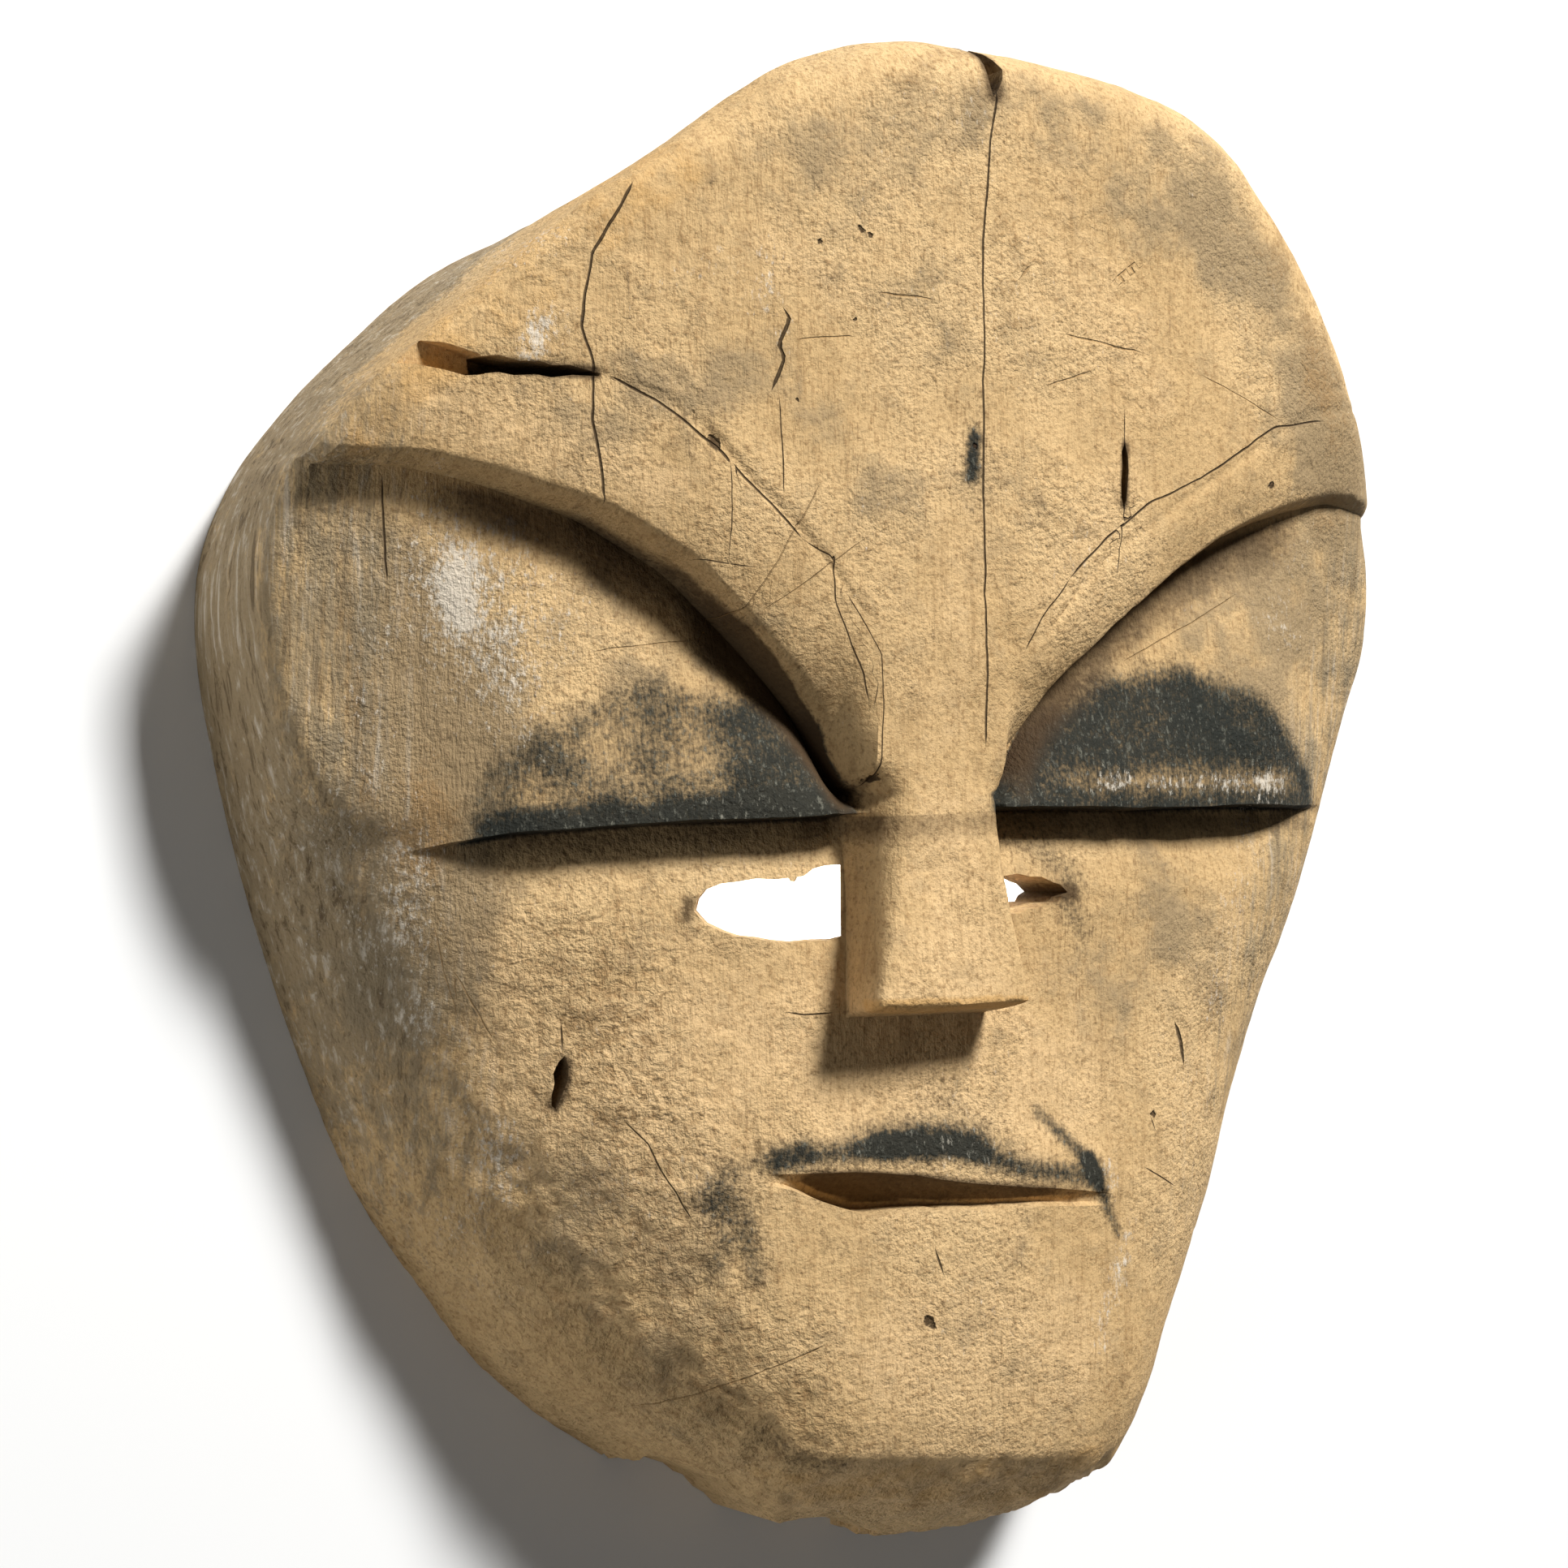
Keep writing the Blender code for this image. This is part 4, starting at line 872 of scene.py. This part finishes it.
# any node from its type, its settings and the values or links of its sockets; gives one output
def makeNode(tree, kind, settings=None, inputs=None, output=0):
    node = tree.nodes.new(kind)
    for name, value in (settings or {}).items():
        setattr(node, name, value)
    for name, value in (inputs or {}).items():
        if isinstance(value, Socket):
            tree.links.new(value.link, node.inputs[name])
        else:
            node.inputs[name].default_value = value
    return Socket(tree, node.outputs[output])


def mixColour(tree, factor, a, b):
    a, b = (value if isinstance(value, Socket) else (*value, 1) for value in (a, b))
    settings = {"data_type": "RGBA", "blend_type": "MIX"}
    return makeNode(tree, "ShaderNodeMix", settings, {0: factor, 6: a, 7: b}, 2)


def newMaterial(name):
    material = bpy.data.materials.new(name)
    material.use_nodes = True
    return material, material.node_tree, material.node_tree.nodes["Principled BSDF"]


wood = {
    "light": (0.70, 0.485, 0.245), "tan": (0.58, 0.39, 0.185), "deep": (0.32, 0.19, 0.08),
    "brown": (0.34, 0.195, 0.075), "pale": (0.74, 0.66, 0.54), "grey": (0.27, 0.215, 0.135),
    # the near-black brown darkens painted shade with dirt, and dark grain streaks; the ochre also lightens
    # the chin band, partly as painted light
    "dull": (0.31, 0.225, 0.125), "ochreAndPaintedLight": (0.75, 0.515, 0.265), "sootAndShade": (0.075, 0.045, 0.022),
    # the orange also lightens the chin band, partly as painted light
    "orangeAndPaintedLight": (0.68, 0.385, 0.125), "pigment": (0.014, 0.019, 0.018), "scuff": (0.36, 0.35, 0.27),
    "hole": (0.035, 0.018, 0.008), "specular": 0.12, "bumpDistance": 0.0030,
}

# noise textures: their scale, or their scales along the axes and turn, then detail, roughness, distortion
textures = {
    "grain": ((520, 34, 240), 0.0, 6.0, 0.62, 0.0),
    "dashes": ((2100, 330, 1300), 0.05, 4.0, 0.60, 0.0),
    "streaks": ((600, 26, 420), 0.0, 6.0, 0.68, 0.4),
    "flecks": ((1100, 420, 800), 0.12, 5.0, 0.75, 0.0),
    "blotch": (24.0, 0.0, 3.0, 0.55, 0.0),
    "mottle": (95.0, 0.0, 6.0, 0.68, 0.0),
    "sand": (950.0, 0.0, 4.0, 0.60, 0.0),
    "patches": (150.0, 0.0, 5.0, 0.70, 0.0),
    "crumbs": (360.0, 0.0, 5.0, 0.62, 0.3),
}

# zones: between which sums they begin, how strong their colour is, how far each texture breaks them up
zoneLooks = {
    "ochreAndPaintedLight": ((0.20, 0.85), 0.75, {"mottle": 1.6, "patches": 0.8}),
    "dull": ((0.25, 0.95), 0.78, {"mottle": 1.7, "blotch": 1.2, "patches": 0.8}),
    "brown": ((0.30, 0.95), 0.58, {"mottle": 1.5, "sand": 0.9, "patches": 0.8}),
    "grey": ((0.25, 0.90), 0.75, {"grain": 1.6, "mottle": 1.0, "dashes": 0.9}),
    "orangeAndPaintedLight": ((0.45, 0.95), 0.55, {"mottle": 1.2}),
    "pigment": ((0.08, 0.96), 0.97, {"mottle": 0.65, "dashes": 0.45, "sand": 0.85}),
    "pale": ((0.44, 0.85), 0.78, {"flecks": 1.9, "mottle": 0.8, "sand": 0.6}),
    # painted shade with dirt, and darkening along the cuts
    "sootAndShade": ((0.12, 0.90), 0.88, {"mottle": 0.5, "sand": 0.4}),
}


def woodMaterial():
    material, tree, shader = newMaterial("weatheredWood")
    place = makeNode(tree, "ShaderNodeTexCoord", output=3)

    def texture(name):
        scale, turn, detail, roughness, distortion = textures[name]
        vector = place
        if isinstance(scale, tuple):
            sockets = {"Vector": place, "Scale": scale, "Rotation": (0, 0, turn)}
            vector, scale = makeNode(tree, "ShaderNodeMapping", None, sockets), 1.0
        return makeNode(
            tree, "ShaderNodeTexNoise", None,
            {"Vector": vector, "Scale": scale, "Detail": detail, "Roughness": roughness,
             "Distortion": distortion},
        )

    def vectorMaths(operation, *values, output=0):
        node = tree.nodes.new("ShaderNodeVectorMath")
        node.operation = operation
        for number, value in enumerate(values):
            if isinstance(value, Socket):
                tree.links.new(value.link, node.inputs[number])
            else:
                node.inputs[number].default_value = value
        return Socket(tree, node.outputs[output])

    noises = {name: texture(name) for name in textures}
    grain, dashes, streaks, flecks, blotch, mottle, sand, patches, crumbs = noises.values()
    front = makeNode(tree, "ShaderNodeSeparateXYZ", None, {"Vector": place}, 2).ramp(0.040, 0.050)

    def zone(name):
        return makeNode(tree, "ShaderNodeAttribute", {"attribute_name": name}, None, 2)

    def over(colour, share, name):
        return mixColour(tree, share, colour, wood[name])

    # a zone's colour over the ones before it, its edge broken up by textures
    def zoned(colour, name):
        (low, high), strength, weights = zoneLooks[name]
        total = zone(name)
        for kind, weight in weights.items():
            total = total + (noises[kind] - 0.5) * weight
        return over(colour, total.ramp(low, high) * strength, name)

    # 1 within a line's half width, 0 past twice of it; the width comes and goes along the line
    def lineMask(name):
        width = zone(name + "Width") * (0.35 + 1.3 * mottle)
        off = zone(name + "Side").maths("ABSOLUTE")
        return 1 - off.maths("DIVIDE", width.maths("MAXIMUM", 0.004)).ramp(0.5, 2.0)

    # 1 in a hole, 0 outside it; a noise moves its edge by up to a millimetre
    def allHoles(table):
        inMillimetres = vectorMaths("MULTIPLY", place, (1000, 1000, 0))
        inMillimetres = vectorMaths("SUBTRACT", inMillimetres, (1.0, 1.0, 0))
        shake = {"Vector": place, "Scale": 700.0, "Detail": 3.0}
        shake = makeNode(tree, "ShaderNodeTexNoise", None, shake, 1)
        shaken, total = vectorMaths("MULTIPLY_ADD", shake, (2.0, 2.0, 0), inMillimetres), None
        for (x, y), radius in table:
            off = vectorMaths("DISTANCE", shaken, (x, y, 0), output=1)
            found = 1 - off.ramp(0.55 * radius, 1.15 * radius)
            total = found if total is None else total.maths("MAXIMUM", found)
        return total

    colour = mixColour(tree, blotch.ramp(0.38, 0.62), wood["tan"], wood["light"])
    # ochre patches; on the chin band partly painted light
    colour = zoned(colour, "ochreAndPaintedLight")
    colour = over(colour, mottle.ramp(0.46, 0.66) * 0.50, "tan")
    colour = over(colour, patches.ramp(0.50, 0.68) * 0.30, "dull")
    colour = over(colour, grain.ramp(0.50, 0.70) * 0.40 * (1 - 0.6 * blotch.ramp(0.45, 0.6)), "deep")
    colour = over(colour, dashes.ramp(0.52, 0.68) * (0.40 + 0.60 * zone("dull")), "deep")
    colour = over(colour, sand.ramp(0.50, 0.68) * 0.62, "deep")
    colour = over(colour, (1 - crumbs.ramp(0.36, 0.50)) * (0.15 + 0.45 * zone("rough")), "deep")
    for name in ("dull", "brown", "grey"):
        colour = zoned(colour, name)
    colour = over(colour, streaks.ramp(0.52, 0.70) * zone("grey") * 0.60, "pale")
    # dark grain streaks on the grey wood, in the near-black brown of the painted shade
    colour = over(colour, (1 - streaks.ramp(0.34, 0.47)) * zone("grey") * 0.65, "sootAndShade")
    # orange on the nose tip, the worn corner and the chin band, where it is partly painted light; then the
    # lids' pigment
    for name in ("orangeAndPaintedLight", "pigment"):
        colour = zoned(colour, name)
    scuffs = (flecks * 1.3 + (sand - 0.5) * 0.8).ramp(0.70, 0.98) * zone("pigment").ramp(0.25, 0.7)
    colour = over(colour, scuffs * 0.34, "scuff")
    colour = zoned(colour, "pale")
    colour = over(colour, (flecks + (blotch - 0.5) * 0.4).ramp(0.64, 0.76) * 0.35, "pale")
    # painted shade with dirt in the mouth and under the ledges and brows, and darkening along the cuts
    colour = zoned(colour, "sootAndShade")
    lines, fine, pitted = lineMask("crack"), lineMask("scratch"), allHoles(holes) * front
    colour = over(colour, fine * 0.50, "brown")
    colour = over(colour, lines.maths("MAXIMUM", pitted) * 0.88, "hole")
    tree.links.new(colour.link, shader.inputs["Base Color"])
    shader.inputs["Specular IOR Level"].default_value = wood["specular"]
    rough = 0.70 + 0.24 * mottle
    tree.links.new(rough.link, shader.inputs["Roughness"])
    sandy = 0.10 + 0.17 * blotch.ramp(0.42, 0.60)
    height = mottle * 0.32 + patches * 0.10 + sand * sandy + grain * 0.10
    height = height + dashes * (0.05 + 0.07 * zone("dull")) - flecks * 0.05
    height = height + crumbs * (0.06 + 0.60 * zone("rough")) - lines * 0.30 - pitted * 0.40 - fine * 0.10
    bump = {"Height": height, "Strength": 1.0, "Distance": wood["bumpDistance"]}
    tree.links.new(makeNode(tree, "ShaderNodeBump", None, bump).link, shader.inputs["Normal"])
    return material


finished.materials.clear()
finished.materials.append(woodMaterial())
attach(maskPiece, "root")
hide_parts("mask")
print("material done")

# ---- floor, camera and lights ----
floor = {"size": 6.0, "colour": (0.86, 0.86, 0.85), "roughness": 0.9}


def buildFloor():
    s = floor["size"] / 2
    item = newMesh("floor", np.array([(-s, -s, 0), (s, -s, 0), (s, s, 0), (-s, s, 0)], float), [(0, 1, 2, 3)])
    material, tree, shader = newMaterial("paleFloor")
    shader.inputs["Base Color"].default_value = (*floor["colour"], 1)
    shader.inputs["Roughness"].default_value = floor["roughness"]
    item.data.materials.append(material)


camera = {
    "target": (-0.0145, 0.0050, 0.030), "angle": 30.0, "distance": 0.85,
    "metresAcross": 0.163e-3 * 1932, "sensor": 36.0,
}


# turns the back of a camera or light to point from target to place, with its top towards +Y
def aimed(place, target):
    back = (place - target).normalized()
    right = Vector((0, 1, 0)).cross(back).normalized()
    turn = Matrix((right, back.cross(right), back)).transposed().to_4x4()
    turn.translation = place
    return turn


def buildCamera():
    data = bpy.data.cameras.new("camera")
    item = bpy.data.objects.new("camera", data)
    bpy.context.scene.collection.objects.link(item)
    data.sensor_width = camera["sensor"]
    data.lens = camera["sensor"] * camera["distance"] / camera["metresAcross"]
    angle, target = math.radians(camera["angle"]), Vector(camera["target"])
    back = Vector((-math.sin(angle), 0, math.cos(angle)))
    item.matrix_world = aimed(target + camera["distance"] * back, target)
    bpy.context.scene.camera = item


# place, size across, power in watts; all are aimed at one place
lights = {
    "key": ((0.78, 1.90, 1.90), 0.60, 134.0),
    "fill": ((-1.9, -0.5, 0.75), 1.2, 8.0),
    "under": ((0.026, 0.0, 0.030), 0.06, 0.14),
}
lightTarget = (0.026, 0.0001, 0.0)
world = {"colour": (1.0, 0.98, 0.95), "strength": 0.05}


def buildLights():
    for name, (place, size, power) in lights.items():
        data = bpy.data.lights.new(name, "AREA")
        data.size, data.energy = size, power
        item = bpy.data.objects.new(name, data)
        bpy.context.scene.collection.objects.link(item)
        item.matrix_world = aimed(Vector(place), Vector(lightTarget))
    sky = bpy.data.worlds.new("studio")
    sky.use_nodes = True
    background = sky.node_tree.nodes["Background"]
    background.inputs["Color"].default_value = (*world["colour"], 1)
    background.inputs["Strength"].default_value = world["strength"]
    bpy.context.scene.world = sky


buildFloor()
buildCamera()
buildLights()
bpy.context.scene.view_settings.view_transform = "Standard"
print("stage done")
